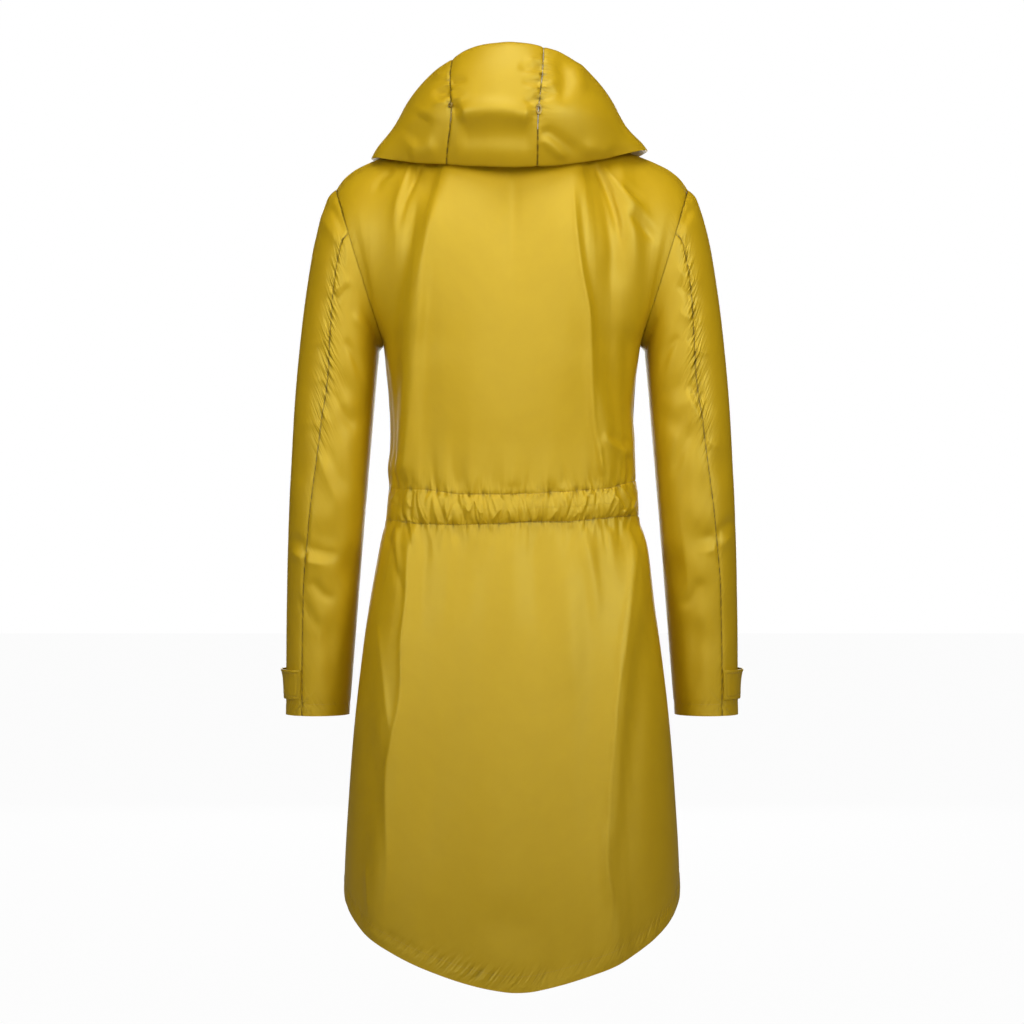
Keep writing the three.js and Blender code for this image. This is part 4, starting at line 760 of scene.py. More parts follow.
# The waist casing.
# A strip of the same nylon stitched to the back along both edges over an elastic that draws it in,
# so that it stands up as a soft tube in about forty uneven gathers between the side seams.
CASING_ROWS = 60
CASING_COLUMNS = 640
CASING_RISE = 5.0
CASING_THICKNESS = 0.45
CASING_TRIM = 3
CASING_CREASES = [
    ("pinch", 1.8, 2.0, 0.3, 0.2, ((5.5, 438), (-1.2, 458))),
    ("pinch", 1.8, 2.0, 0.3, 0.2, ((11, 438), (26, 458))),
    ("pinch", 1.6, 1.8, 0.3, 0.3, ((57, 432), (49, 444), (44, 431), (36, 446), (30, 434))),
    ("pinch", 1.8, 1.6, 0.3, 0.3, ((-52, 440), (-44, 456))),
    ("pinch", 1.8, 1.6, 0.3, 0.3, ((-78, 442), (-70, 454))),
    ("pinch", 1.8, 2.4, 0.3, 0.3, ((-131, 440), (-124, 454))),
    ("pinch", 1.8, 2.2, 0.3, 0.3, ((-118, 424), (-127, 443))),
    ("soft", 3.0, -2.2, 0.3, 0.3, ((-130, 412), (-138, 428), (-134, 442))),
    ("pinch", 1.8, 2.0, 0.3, 0.3, ((141, 434), (133, 418))),
    ("pinch", 1.6, 1.8, 0.3, 0.3, ((121, 428), (118, 442))),
]
coarse_drops = -back_coarse[:, :, 2].mean(axis=1)
lower = coarse_drops > 300
lower_rows = np.arange(len(coarse_drops))[lower]
band_rows = np.interp(np.linspace(396, 472, 96), coarse_drops[lower], lower_rows)
band = smooth_sheet(back_coarse, band_rows, cuts(back_coarse, CASING_COLUMNS, 1))
band_x, band_drop = seen(band)
down = np.linspace(0, 1, CASING_ROWS)
row_places = np.zeros((CASING_ROWS, CASING_COLUMNS))
for column in range(CASING_COLUMNS):
    across = band_x[:, column].mean()
    top = waist_line(across, WAIST_TOP)
    bottom = waist_line(across, WAIST_BOTTOM)
    wanted = top + (bottom - top) * down
    row_places[:, column] = np.interp(wanted, band_drop[:, column], np.arange(len(band)))
column_places = np.broadcast_to(np.arange(CASING_COLUMNS), row_places.shape)
casing_base = on_sheet(band, row_places.ravel(), column_places.ravel()).reshape(*row_places.shape, 3)
casing_out = sheet_normals(casing_base, BACK_OUTSIDE)
x, drop = seen(casing_base)
share_down = np.broadcast_to(down[:, None], x.shape)
dice = np.random.default_rng(5)
turn_at = 0.62 + np.zeros_like(x)
ribs = np.zeros_like(x)
at = x.min() + 2
while at < x.max() - 2:
    width = dice.uniform(1.3, 3.2)
    lean = dice.uniform(-0.4, 0.4)
    strip = np.exp(-(((x - at - lean * (drop - CASING_MIDDLE_DROP)) / width) ** 2))
    ribs += dice.uniform(0.35, 1.5) * dice.choice([-1, 1]) * strip
    turn_at += dice.uniform(0.02, 0.13) * dice.choice([-1, 1]) * strip
    at += dice.uniform(2.4, 6.2)
rising = share_down / turn_at
falling = (1 - share_down) / (1 - turn_at)
tube = 2 * rising * falling / (rising + falling + 1e-6)
left_end = 1 - 0.75 * smooth_step(x, 106, 120)
casing_height = CASING_RISE * np.clip(tube, 0, 1.15) * left_end
casing_height += (ribs + creases(x, drop, CASING_CREASES)) * np.clip(tube * 1.3, 0, 1)
casing_height += waist_gathers(x, drop) + waist_puckers(x, drop)
ends = smooth_step(np.abs(x.max() - x), 0, 14) * smooth_step(np.abs(x - x.min()), 0, 14)
casing_height *= 0.25 + 0.75 * ends
casing_points = casing_base + casing_out * casing_height[..., None]
casing_edges = edge_distances(casing_base)
casing_seams = nearest_seam(
    (casing_edges["top"], x, 0.8, 0.45),
    (casing_edges["bottom"], x + 400, 0.8, 0.6),
)
trimmed = [part[:, CASING_TRIM:-CASING_TRIM] for part in (casing_points, casing_out, casing_seams)]
casing = make_sheet("waist_casing_strip", *trimmed, CASING_THICKNESS)
declare_cloth(casing, trimmed[0], "gathered", ["back_panel"], "waist_casing")
casing_threads = [(casing_points[row, 6:-6], casing_out[row, 6:-6]) for row in (1, -2)]
make_threads("casing_stitches", casing_threads)

# The two fronts.
# Plain panels of the same nylon, mirror images, sewn to the back at the sides and shoulders, to the
# sleeves and to the hood, with the zip's tapes along their centre edges.
FRONT_CREASES = [
    ("soft", 6, -3.0, 0.1, 0.5, ((150, 130), (128, 160), (104, 185), (84, 200))),
    ("pinch", 5, 2.4, 0.1, 0.5, ((146, 170), (124, 195), (100, 214))),
    ("soft", 5, -2.4, 0.2, 0.5, ((120, 40), (100, 90), (84, 150), (76, 210))),
    ("pinch", 4.5, 2.2, 0.2, 0.5, ((110, 44), (90, 96), (74, 160))),
    ("soft", 9, -3.0, 0.3, 0.2, ((112, 260), (118, 330), (120, 410))),
    ("pinch", 5, 2.6, 0.2, 0.2, ((70, 240), (80, 320), (88, 400), (94, 520), (106, 700), (118, 880))),
    ("soft", 10, -2.4, 0.3, 0.3, ((50, 300), (56, 380), (56, 440))),
    ("pinch", 4.5, 2.4, 0.1, 0.3, ((134, 470), (140, 560), (150, 700))),
    ("soft", 12, -2.6, 0.2, 0.3, ((72, 500), (80, 650), (86, 820))),
    ("soft", 8, -1.6, 0.3, 0.3, ((30, 180), (36, 260), (34, 340))),
    ("soft", 9, 1.6, 0.3, 0.3, ((26, 480), (30, 560), (34, 700))),
]
FRONT_SHIFTS = {"left": (1, 0, 0), "right": (0.92, 5, 14)}
ZIP_STITCH = 6
FRONT_ROWS, FRONT_COLUMNS = 176, 84
for hand, side in ((1, "left"), (-1, "right")):
    outside = (hand * 120, -400, -500)
    coarse = panel_grid(f"front_{side}", 33, outside, (0, 0, 100), (0, -140, -500))
    base = smooth_sheet(coarse, cuts(coarse, FRONT_ROWS, 0), cuts(coarse, FRONT_COLUMNS, 1))
    out = sheet_normals(base, outside)
    edges = edge_distances(base)
    stretch, inward, lower = FRONT_SHIFTS[side]
    height = creases(base[..., 0], -base[..., 2], FRONT_CREASES, lambda line: [
        (hand * px * stretch + inward, py + lower) for px, py in line
    ])
    for edge, reach in (("first", 14), ("last", 9), ("bottom", 12), ("top", 8)):
        height *= smooth_step(edges[edge], 0, reach)
    side_puckers = seam_puckers(edges["last"], edges["top"], 14, 0.7, 19, 0.2, 31 + hand)
    zip_puckers = seam_puckers(edges["first"], edges["top"], 10, 0.35, 16, 0.1, 35 + hand)
    height += side_puckers * smooth_step(edges["last"], 0, 3)
    height += zip_puckers * smooth_step(edges["first"], 0, 4)
    height += seam_roll(edges["last"], 0.15) + stitched_line(edges["first"], ZIP_STITCH)
    height += stitched_line(edges["bottom"], HEM_STITCH, 0.6, 1.6)
    points = base + out * height[..., None]
    seams = nearest_seam(
        (edges["last"], edges["top"], 0.15, 0.4),
        (np.abs(edges["first"] - ZIP_STITCH), edges["top"], 0.12, 0.15),
        (np.abs(edges["bottom"] - HEM_STITCH), edges["first"] + 0.8 * edges["bottom"], 0.2, 0.2),
    )
    front = make_sheet(f"front_panel_{side}", points, out, seams)
    declare_cloth(front, base, "hung", [f"hood_side_{side}"], f"front_{side}")
    make_threads(f"front_stitches_{side}", [
        stitch_path(points, out, edges["bottom"], HEM_STITCH, (0.02, 0.99)),
        stitch_path(points, out, edges["first"], ZIP_STITCH, (0.02, 0.99), False),
    ])

# The sleeves.
# Set-in sleeves in two pieces, an upper and an under, joined by a back seam from the armhole to the
# cuff and a front seam inside the elbow. The cloth draws into short creases along the back seams.
SLEEVE_CREASES = {
    "left": [
        ("soft", 5, -2.6, 0.3, 0.4, ((222, 78), (205, 100), (190, 126))),
        ("pinch", 4, 2.0, 0.3, 0.4, ((228, 92), (212, 116), (196, 146))),
        ("pinch", 4, 2.2, 0.2, 0.5, ((186, 170), (206, 186), (226, 192))),
        ("soft", 4, -1.8, 0.2, 0.5, ((188, 178), (206, 195), (224, 204))),
        ("pinch", 4, 2.0, 0.2, 0.5, ((190, 214), (170, 232), (160, 258))),
        ("soft", 5, -2.2, 0.2, 0.5, ((198, 240), (184, 262), (172, 300))),
        ("pinch", 4, 1.8, 0.2, 0.5, ((206, 232), (222, 246), (240, 250))),
        ("pinch", 3.5, 1.8, 0.2, 0.5, ((208, 280), (222, 290), (236, 292))),
        ("soft", 5, -2.4, 0.2, 0.5, ((210, 300), (196, 330), (182, 350))),
        ("pinch", 4, 1.8, 0.2, 0.5, ((212, 330), (230, 342), (248, 340))),
        ("soft", 7, -2.4, 0.3, 0.4, ((222, 360), (206, 392), (190, 430))),
        ("pinch", 5, 2.2, 0.3, 0.4, ((228, 372), (214, 410), (198, 452))),
        ("soft", 7, -3.0, 0.2, 0.3, ((262, 470), (240, 486), (214, 494), (196, 490))),
        ("pinch", 5, 2.6, 0.2, 0.3, ((260, 488), (238, 502), (214, 508))),
        ("soft", 6, -2.2, 0.3, 0.3, ((238, 520), (222, 540), (204, 548))),
        ("soft", 7, -2.0, 0.3, 0.3, ((258, 540), (240, 560), (222, 590))),
        ("pinch", 4, 1.5, 0.3, 0.3, ((232, 430), (236, 480), (240, 540))),
        ("soft", 8, -1.8, 0.3, 0.3, ((214, 560), (212, 610), (208, 660))),
    ],
    "right": [
        ("soft", 5, -2.6, 0.3, 0.4, ((-218, 80), (-202, 104), (-188, 132))),
        ("pinch", 4, 2.0, 0.3, 0.4, ((-206, 96), (-196, 126), (-180, 140))),
        ("pinch", 4, 2.2, 0.2, 0.5, ((-190, 158), (-208, 172), (-228, 174))),
        ("soft", 5, -2.6, 0.2, 0.5, ((-178, 150), (-170, 176), (-166, 205))),
        ("soft", 4, -1.8, 0.2, 0.5, ((-192, 176), (-206, 190), (-226, 200))),
        ("pinch", 4, 2.0, 0.2, 0.5, ((-192, 208), (-212, 220), (-232, 224))),
        ("soft", 5, -2.0, 0.2, 0.5, ((-196, 236), (-182, 256), (-172, 290))),
        ("pinch", 4, 1.8, 0.2, 0.5, ((-200, 246), (-220, 258), (-240, 256))),
        ("soft", 6, -2.6, 0.2, 0.4, ((-206, 290), (-222, 316), (-236, 334))),
        ("pinch", 5, 2.4, 0.2, 0.4, ((-204, 306), (-218, 332), (-230, 356))),
        ("soft", 6, -2.4, 0.3, 0.4, ((-212, 340), (-198, 372), (-186, 410))),
        ("pinch", 4, 1.8, 0.3, 0.4, ((-218, 350), (-234, 366), (-250, 366))),
        ("soft", 7, -2.6, 0.2, 0.3, ((-262, 450), (-240, 470), (-216, 476))),
        ("pinch", 5, 2.2, 0.2, 0.3, ((-258, 470), (-238, 488), (-214, 494))),
        ("soft", 6, -2.0, 0.3, 0.3, ((-226, 520), (-210, 544), (-196, 560))),
        ("pinch", 5, 1.8, 0.3, 0.3, ((-196, 440), (-204, 500), (-208, 560))),
        ("soft", 8, -1.8, 0.3, 0.3, ((-216, 560), (-214, 610), (-212, 660))),
    ],
}
SLEEVE_FRONT_CREASES = [
    ("soft", 6, -3.0, 0.2, 0.4, ((176, 240), (200, 262), (228, 268))),
    ("pinch", 5, 2.4, 0.2, 0.4, ((180, 268), (204, 288), (232, 292))),
    ("soft", 7, -3.4, 0.2, 0.3, ((186, 352), (210, 366), (240, 360))),
    ("pinch", 5, 2.6, 0.2, 0.3, ((190, 374), (214, 388), (244, 384))),
    ("soft", 7, -3.4, 0.2, 0.3, ((190, 420), (214, 410), (246, 402))),
    ("soft", 7, -2.8, 0.2, 0.3, ((196, 470), (220, 478), (248, 470))),
    ("pinch", 5, 2.2, 0.2, 0.3, ((200, 500), (224, 512), (250, 506))),
    ("soft", 8, -2.2, 0.3, 0.3, ((214, 560), (222, 600), (226, 650))),
    ("soft", 6, -2.4, 0.3, 0.4, ((226, 110), (214, 150), (200, 190))),
]
CUFF_STITCH = 14
SLEEVE_ROWS = 190
for hand, side in ((1, "left"), (-1, "right")):
    for part, outside, columns in (
        ("upper", (hand * 600, 0, -400), 96),
        ("under", (hand * 150, 200, -450), 80),
    ):
        node = f"sleeve_{side}_{part}"
        back_seam = (hand * 205, 60, -400)
        coarse = panel_grid(node, 23, outside, (hand * 200, 0, 100), back_seam)
        elbow = coarse[11, :, 1]
        turned = elbow[0] < elbow[-1]
        if turned and (part == "upper" or abs(elbow[0]) < abs(elbow[-1])):
            coarse = coarse[:, ::-1]
        base = smooth_sheet(coarse, cuts(coarse, SLEEVE_ROWS, 0), cuts(coarse, columns, 1))
        out = sheet_normals(base, outside)
        edges = edge_distances(base)
        behind = smooth_step(out[..., 1], -0.05, 0.3)
        fallen = -base[..., 2]
        lower = 0 if hand > 0 else 12
        height = creases(*seen(base), SLEEVE_CREASES[side]) * behind
        height += (1 - behind) * creases(base[..., 0], fallen, SLEEVE_FRONT_CREASES, lambda line: [
            (hand * px, py + lower) for px, py in line
        ])
        for edge, reach in (("first", 5), ("last", 5), ("top", 8), ("bottom", 10)):
            height *= smooth_step(edges[edge], 0, reach)
        seed = 40 + 10 * (hand > 0) + (part == "upper")
        busy = smooth_step(fallen, 110, 140) * (1 - smooth_step(fallen, 300, 400))
        shoulder = 1 - smooth_step(fallen, 95, 125)
        back_puckers = seam_puckers(edges["first"], edges["top"], 14, 1.0, 11, 0.35, seed)
        front_puckers = seam_puckers(edges["last"], edges["top"], 14, 0.8, 19, 0.3, seed + 3)
        top_puckers = seam_puckers(edges["top"], edges["first"], 11, 0.5, 14, 0.2, seed + 5)
        height += back_puckers * (0.2 + 0.8 * busy)
        height += front_puckers
        height += top_puckers * (0.25 + 0.75 * shoulder)
        height += seam_roll(edges["first"], 0.9) + seam_roll(edges["last"])
        height += seam_roll(edges["top"]) * (0.15 + 0.5 * shoulder)
        height += stitched_line(edges["bottom"], CUFF_STITCH, 0.55, 1.5)
        height += seam_puckers(np.abs(edges["bottom"] - 12), edges["first"], 9, 0.4, 11, 0.6, seed + 7)
        points = base + out * height[..., None]
        seams = nearest_seam(
            (edges["first"], edges["top"] + 0.2 * edges["first"], 0.12 + 0.9 * busy, 0.85),
            (edges["last"], edges["top"] + 600, 0.45, 0.6),
            (edges["top"], edges["first"], 0.1, 0.15 + 0.6 * shoulder),
            (np.abs(edges["bottom"] - CUFF_STITCH), edges["first"] + 0.6 * edges["bottom"], 0.2, 0.2),
        )
        sleeve = make_sheet(f"sleeve_{side}_{part}_panel", points, out, seams)
        hangs_from = "back_panel" if part == "under" else f"front_panel_{side}"
        declare_cloth(sleeve, base, "hung", [hangs_from], node)
        cuff_threads = [stitch_path(points, out, edges["bottom"], CUFF_STITCH, (0.01, 0.99))]
        make_threads(f"cuff_stitches_{side}_{part}", cuff_threads)

# The cuff tabs.
# Short doubled straps of the nylon, caught in each sleeve's back seam and lying round its outer side,
# topstitched all round. Their upper edges stand a little off the sleeve.
TAB_STITCH = 4
TAB_ROWS, TAB_COLUMNS = 34, 90
TAB_WALL = 1.6
TAB_THICKNESS = 1.4
for hand, side in ((1, "left"), (-1, "right")):
    outside = (hand * 600, 0, -646)
    sewn_end = (hand * 230, 200, -646)
    coarse = panel_grid(f"cuff_tab_{side}", 4, outside, (hand * 250, 0, 0), sewn_end, TAB_WALL)
    base = smooth_sheet(coarse, cuts(coarse, TAB_ROWS, 0), cuts(coarse, TAB_COLUMNS, 1))
    out = sheet_normals(base, outside)
    edges = edge_distances(base)
    border = np.minimum.reduce(np.broadcast_arrays(*edges.values()))
    height = 0.45 * smooth_step(border, 0, 2.2) + stitched_line(border, TAB_STITCH, 0.35, 1.1) - 0.45
    height += 1.3 * np.exp(-((edges["top"] / 5) ** 2)) * smooth_step(edges["first"], 0, 12)
    height += seam_puckers(border, edges["first"], 8, 0.3, 10, 0.2, 61 + hand)
    points = base + out * height[..., None]
    seams = nearest_seam((np.abs(border - TAB_STITCH), edges["first"], 0.3, 0.35))
    tab = make_sheet(f"cuff_tab_strap_{side}", points, out, seams, TAB_THICKNESS)
    declare_cloth(tab, base, "stretched", [f"sleeve_{side}_upper_panel"], f"cuff_tab_{side}")
    make_threads(f"tab_stitches_{side}", [
        stitch_path(points, out, edges["top"], TAB_STITCH, (0.04, 0.96)),
        stitch_path(points, out, edges["bottom"], TAB_STITCH, (0.04, 0.96)),
        stitch_path(points, out, edges["last"], TAB_STITCH, (0.1, 0.9), False),
    ])

# The hood.
# Three pieces, a centre strip between two sides, lying back off the neck. Its two seams are drawn up
# in short creases beside their eyelets, and the lower edge folds under along the shoulders.
HOOD_CREASES = [
    ("soft", 5, -2.6, 0.1, 0.4, ((-37, -78), (-24, -74), (-4, -77))),
    ("pinch", 3, 2.2, 0.1, 0.5, ((-38, -84), (-26, -84), (-12, -82))),
    ("pinch", 3, 2.0, 0.1, 0.5, ((-34, -66), (-24, -68), (-12, -66))),
    ("soft", 4, -2.4, 0.1, 0.5, ((-33, -57), (-22, -58), (-10, -60))),
    ("pinch", 3, 2.0, 0.1, 0.5, ((-32, -50), (-24, -50), (-12, -48))),
    ("soft", 4, -2.4, 0.1, 0.5, ((-31, -40), (-22, -36), (-12, -38))),
    ("soft", 5, -2.2, 0.1, 0.5, ((-34, -40), (-42, -42), (-54, -50))),
    ("pinch", 3, 1.8, 0.1, 0.5, ((-35, -52), (-44, -54), (-54, -62))),
    ("soft", 9, -4.2, 0.3, 0.35, ((-50, -92), (-61, -72), (-61, -48), (-50, -32))),
    ("soft", 8, 2.4, 0.3, 0.4, ((-72, -84), (-80, -62), (-78, -40))),
    ("soft", 6, 3.0, 0.15, 0.3, ((-34, 6), (-50, 20), (-64, 34))),
    ("soft", 7, -3.2, 0.2, 0.4, ((-34, -6), (-52, 6), (-70, 20), (-84, 32))),
    ("soft", 9, 2.4, 0.3, 0.3, ((-78, 18), (-96, 20), (-120, 26))),
    ("pinch", 3, 1.8, 0.1, 0.5, ((71, -66), (80, -66), (94, -62))),
    ("soft", 4, -2.0, 0.1, 0.5, ((72, -58), (62, -60), (50, -62))),
    ("soft", 5, -2.6, 0.1, 0.5, ((73, -46), (84, -46), (96, -42))),
    ("pinch", 3, 1.8, 0.1, 0.5, ((73, -36), (84, -34), (98, -32))),
    ("soft", 5, -2.2, 0.1, 0.5, ((72, -30), (62, -26), (52, -24))),
    ("pinch", 3, 1.8, 0.1, 0.5, ((72, -40), (60, -40), (48, -46))),
    ("soft", 14, -3.0, 0.3, 0.3, ((100, -24), (112, 0), (122, 14))),
    ("soft", 12, 2.6, 0.3, 0.3, ((84, 14), (104, 22), (124, 28))),
    ("soft", 12, 6.5, 0.15, 0.15, ((68, -20), (40, -26), (10, -26), (-28, -18))),
    ("soft", 16, -4.5, 0.15, 0.15, ((66, 8), (40, 6), (4, 6), (-30, 8))),
]
HOOD_STITCH = 20
HOOD_ROWS = 150
for side, columns, outside, first_near in (
    ("left", 116, (300, 100, 60), (0, 120, 0)),
    ("centre", 84, (20, 400, 20), (-100, 120, 0)),
    ("right", 126, (-300, 100, 60), (0, 120, 0)),
):
    coarse = panel_grid(f"hood_{side}", 18, outside, (0, 0, -60), first_near, sharpest=180)
    base = smooth_sheet(coarse, cuts(coarse, HOOD_ROWS, 0), cuts(coarse, columns, 1))
    out = sheet_normals(base, outside)
    edges = edge_distances(base)
    behind = smooth_step(out[..., 1], -0.1, 0.25)
    x, drop = seen(base)
    height = creases(x, drop, HOOD_CREASES) * behind
    seams = ["first"] if side != "centre" else ["first", "last"]
    height *= smooth_step(edges["bottom"], 0, 14) * smooth_step(edges["top"], 0, 14)
    middle, reach = np.where(x > 20, -48, -52), np.where(x > 20, 20, 34)
    drawn = np.exp(-(((drop - middle) / reach) ** 4))
    drawn = np.maximum(drawn, 0.7 * smooth_step(-base[..., 1], -60, 0))
    for k, edge in enumerate(seams):
        height *= smooth_step(edges[edge], 0, 3)
        puckers = seam_puckers(edges[edge], edges["top"], 9, 0.8, 8, 0.1, 70 + 3 * k + len(side))
        height += puckers * (0.1 + 0.9 * drawn)
        height += seam_roll(edges[edge], 1.0, 2.0)
    if side != "centre":
        height *= smooth_step(edges["last"], 0, 8)
    height += stitched_line(edges["bottom"], HOOD_STITCH, 0.5, 1.5)
    points = base + out * height[..., None]
    panel_name = "hood_centre_strip" if side == "centre" else f"hood_side_{side}"
    hood_seams = nearest_seam(
        *[(edges[edge], edges["top"] + 300 * k, 0.1 + 0.9 * drawn, 0.95) for k, edge in enumerate(seams)],
        (np.abs(edges["bottom"] - HOOD_STITCH), edges["first"], 0.08, 0.0),
    )
    hood = make_sheet(panel_name, points, out, hood_seams)
    declare_cloth(hood, base, "folded", ["back_panel"], f"hood_{side}")
    fold_threads = [stitch_path(points, out, edges["bottom"], HOOD_STITCH, (0.01, 0.99))]
    make_threads(f"hood_stitches_{side}", fold_threads)

# The eyelets.
# Small plated rings pressed through the hood's two seams.
PLATE = mottled("worn plated metal", 260, 4, (0.36, 0.25, 0.07), (0.55, 0.41, 0.14), (0.18, 0.42), 1.0)
for name in ("hood_eyelet_left", "hood_eyelet_right", "zip_slider", "zip_pull"):
    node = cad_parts[name]
    node.data.materials.clear()
    node.data.materials.append(PLATE)

# The front zip.
# A long coil zip: two woven tapes sewn along the fronts' edges, with teeth that mesh over the tapes'
# meeting edges, closed by a slider with a pull tab on its bail.
TAPE = bpy.data.materials.new("woven zip tape")
TAPE.use_nodes = True
tape_nodes, tape_links = TAPE.node_tree.nodes, TAPE.node_tree.links
tape_surface = tape_nodes["Principled BSDF"]
tape_surface.inputs["Roughness"].default_value = 0.7
tape_place = tape_nodes.new("ShaderNodeTexCoord")
tape_weave = tape_nodes.new("ShaderNodeGroup")
tape_weave.node_tree = bpy.data.node_groups["fine_weave"]
tape_turn = tape_nodes.new("ShaderNodeMapping")
tape_turn.inputs["Rotation"].default_value = (math.radians(90), 0, 0)
tape_tone = tape_nodes.new("ShaderNodeMix")
tape_tone.data_type = "RGBA"
tape_tone.inputs[6].default_value = (0.34, 0.21, 0.012, 1)
tape_tone.inputs[7].default_value = (0.44, 0.28, 0.02, 1)
tape_bump = tape_nodes.new("ShaderNodeBump")
tape_bump.inputs["Strength"].default_value = 0.5
tape_bump.inputs["Distance"].default_value = 0.0002
tape_links.new(tape_place.outputs["Object"], tape_turn.inputs[0])
tape_links.new(tape_turn.outputs[0], tape_weave.inputs["Map"])
tape_links.new(tape_weave.outputs["Height"], tape_bump.inputs["Height"])
tape_links.new(tape_weave.outputs["Shade"], tape_tone.inputs[0])
tape_links.new(tape_tone.outputs[2], tape_surface.inputs["Base Color"])
tape_links.new(tape_bump.outputs[0], tape_surface.inputs["Normal"])
for name in ("zip_tape_left", "zip_tape_right"):
    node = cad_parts[name]
    node.data.materials.clear()
    node.data.materials.append(TAPE)

TEETH_PITCH = 1.9
TEETH_WALL = 2.6
TAPE_EDGE_STEPS = 240
TOOTH_RINGS = ((2.0, 0.6, -2.1, -0.5), (-0.3, 0.65, -2.1, -0.25), (-0.9, 0.4, -1.8, -0.6))
teeth_coarse = panel_grid("zip_teeth", None, (0, -400, -500), (0, 0, 100), (-100, -140, -500), TEETH_WALL)
teeth_rows = np.linspace(0, len(teeth_coarse) - 1, 2400)
teeth_line = smooth_sheet(teeth_coarse, teeth_rows, np.array([0.5]))[:, 0]
teeth_steps = np.concatenate([[0], np.cumsum(np.linalg.norm(np.diff(teeth_line, axis=0), axis=1))])
tooth_points, tooth_faces = [], []


def on_zip(place):
    return np.array([np.interp(place, teeth_steps, teeth_line[:, a]) for a in range(3)])


for k, place in enumerate(np.arange(2.0, teeth_steps[-1] - 2.0, TEETH_PITCH)):
    centre = on_zip(place)
    ahead = on_zip(place + 1)
    down = (ahead - centre) / np.linalg.norm(ahead - centre)
    outward = np.array([0.0, down[2], -down[1]])
    across = np.array([1.0 if k % 2 else -1.0, 0, 0])
    ring = []
    for reach, half, low, high in TOOTH_RINGS:
        for along, out_by in ((-half, low), (half, low), (half, high), (-half, high)):
            ring.append(centre + across * reach + down * along + outward * out_by)
    start = len(tooth_points)
    tooth_points.extend((np.array(ring) * MM).tolist())
    faces = [(0, 1, 2, 3), (11, 10, 9, 8)]
    for level in (0, 4):
        faces += [(level + a, level + 4 + a, level + 4 + (a + 1) % 4, level + (a + 1) % 4) for a in range(4)]
    tooth_faces.extend([tuple(start + v for v in face) for face in faces])
for hand in (1, -1):
    start = len(tooth_points)
    for place in np.linspace(0.2, teeth_steps[-1] - 0.2, TAPE_EDGE_STEPS):
        centre = on_zip(place)
        for reach, out_by in ((2.15, -2.4), (2.15, -1.9), (0.02, -1.9), (0.02, -2.4)):
            tooth_points.append(tuple(centre + (hand * reach, -out_by, 0)))
    tooth_points[start:] = (np.array(tooth_points[start:]) * MM).tolist()
    for row in range(start, start + 4 * (TAPE_EDGE_STEPS - 1), 4):
        for a in range(4):
            tooth_faces.append((row + a, row + 4 + a, row + 4 + (a + 1) % 4, row + (a + 1) % 4))
    tooth_faces.extend([(start, start + 1, start + 2, start + 3), (row + 7, row + 6, row + 5, row + 4)])
COIL = mottled("moulded zip coil", 400, 2, (0.4, 0.25, 0.015), (0.52, 0.34, 0.03), (0.3, 0.45))
teeth = make_faces("zip_coil", tooth_points, tooth_faces, COIL)
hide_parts("zip_teeth")
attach(teeth, "coat")

# The studio.
# A plain pale floor that runs back to the horizon, a large soft light overhead, soft lights at the
# sides, gridded ones aimed at the back, and one for the front. The camera is square to the back.
bpy.ops.object.select_all(action="DESELECT")
bpy.ops.mesh.primitive_plane_add(size=24, location=(0, 0, -1.06))
floor = bpy.context.active_object
floor.name = "studio_floor"
PALE = bpy.data.materials.new("pale floor")
PALE.use_nodes = True
pale_nodes, pale_links = PALE.node_tree.nodes, PALE.node_tree.links
pale_nodes["Principled BSDF"].inputs["Base Color"].default_value = (0.35, 0.35, 0.35, 1)
pale_nodes["Principled BSDF"].inputs["Roughness"].default_value = 0.9
pale_glow = pale_nodes.new("ShaderNodeEmission")
pale_glow.inputs["Strength"].default_value = 1.0
pale_path = pale_nodes.new("ShaderNodeLightPath")
pale_share = pale_nodes.new("ShaderNodeMath")
pale_share.operation = "MULTIPLY"
pale_share.inputs[1].default_value = 0.97
pale_mix = pale_nodes.new("ShaderNodeMixShader")
pale_links.new(pale_path.outputs["Is Camera Ray"], pale_share.inputs[0])
pale_links.new(pale_share.outputs[0], pale_mix.inputs[0])
pale_links.new(pale_nodes["Principled BSDF"].outputs[0], pale_mix.inputs[1])
pale_links.new(pale_glow.outputs[0], pale_mix.inputs[2])
pale_links.new(pale_mix.outputs[0], pale_nodes["Material Output"].inputs["Surface"])
floor.data.materials.append(PALE)

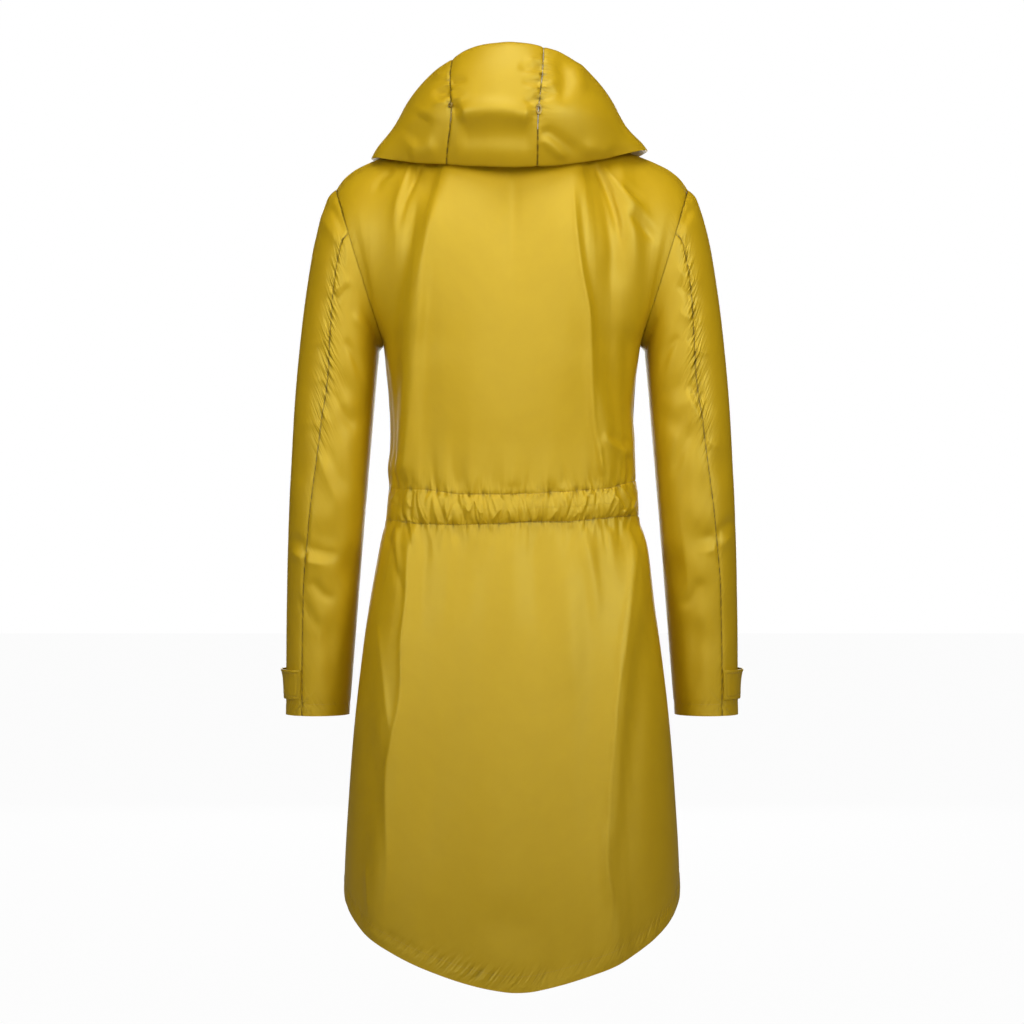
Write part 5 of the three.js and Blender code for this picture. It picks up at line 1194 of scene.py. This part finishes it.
world = bpy.data.worlds.new("studio")
bpy.context.scene.world = world
world.use_nodes = True
world_nodes, world_links = world.node_tree.nodes, world.node_tree.links
fill = world_nodes["Background"]
fill.inputs["Color"].default_value = (1, 0.9, 0.7, 1)
fill.inputs["Strength"].default_value = 0.02
backdrop = world_nodes.new("ShaderNodeBackground")
backdrop.inputs["Color"].default_value = (1, 1, 1, 1)
world_path = world_nodes.new("ShaderNodeLightPath")
world_mix = world_nodes.new("ShaderNodeMixShader")
world_links.new(world_path.outputs["Is Camera Ray"], world_mix.inputs[0])
world_links.new(fill.outputs[0], world_mix.inputs[1])
world_links.new(backdrop.outputs[0], world_mix.inputs[2])
world_links.new(world_mix.outputs[0], world_nodes["World Output"].inputs["Surface"])

LIGHTS = [
    ("overhead softbox", (0.0, 0.8, 2.2), (0, 0, 0.1), 1.6, 0.9, 34, 180),
    ("upper gridded softbox", (0.0, 2.4, 0.6), (0, 0, -0.05), 1.4, 0.8, 0.7, 45),
    ("high gridded softbox", (0.0, 2.0, 1.3), (0, 0, 0.0), 1.6, 0.9, 1.8, 45),
    ("low gridded softbox", (0.0, 3.0, -0.6), (0, 0, -0.28), 1.2, 0.6, 0.9, 35),
    ("left softbox", (2.6, 1.8, 0.0), (0, 0, -0.3), 1.0, 1.8, 9, 180),
    ("right softbox", (-2.6, 1.8, 0.0), (0, 0, -0.3), 1.0, 1.8, 8, 180),
    ("left gridded softbox", (2.0, 2.4, 0.6), (0, 0, -0.15), 0.8, 1.0, 3.8, 60),
    ("right gridded softbox", (-2.0, 2.4, 0.6), (0, 0, -0.15), 0.8, 1.0, 5.2, 60),
    ("front softbox", (0.0, -2.8, -0.1), (0, 0, -0.4), 2.0, 1.4, 55, 180),
]
for name, place, target, width, height, power, spread in LIGHTS:
    lamp = bpy.data.lights.new(name, "AREA")
    lamp.shape = "RECTANGLE"
    lamp.size = width
    lamp.size_y = height
    lamp.energy = power
    lamp.spread = math.radians(spread)
    light = bpy.data.objects.new(name, lamp)
    bpy.context.collection.objects.link(light)
    light.visible_camera = False
    light.location = place
    aim = Vector(target) - Vector(place)
    light.rotation_euler = aim.to_track_quat("-Z", "Y").to_euler()

eye = bpy.data.cameras.new("camera")
eye.sensor_width = 36
eye.lens = 36 * VIEW_DISTANCE / (1.17 * 1024)
camera = bpy.data.objects.new("camera", eye)
bpy.context.collection.objects.link(camera)
camera.location = (0, VIEW_DISTANCE * MM, -VIEW_DROP * MM)
camera.rotation_euler = (math.radians(90), 0, math.radians(180))
bpy.context.scene.camera = camera
bpy.context.scene.view_settings.view_transform = "Standard"
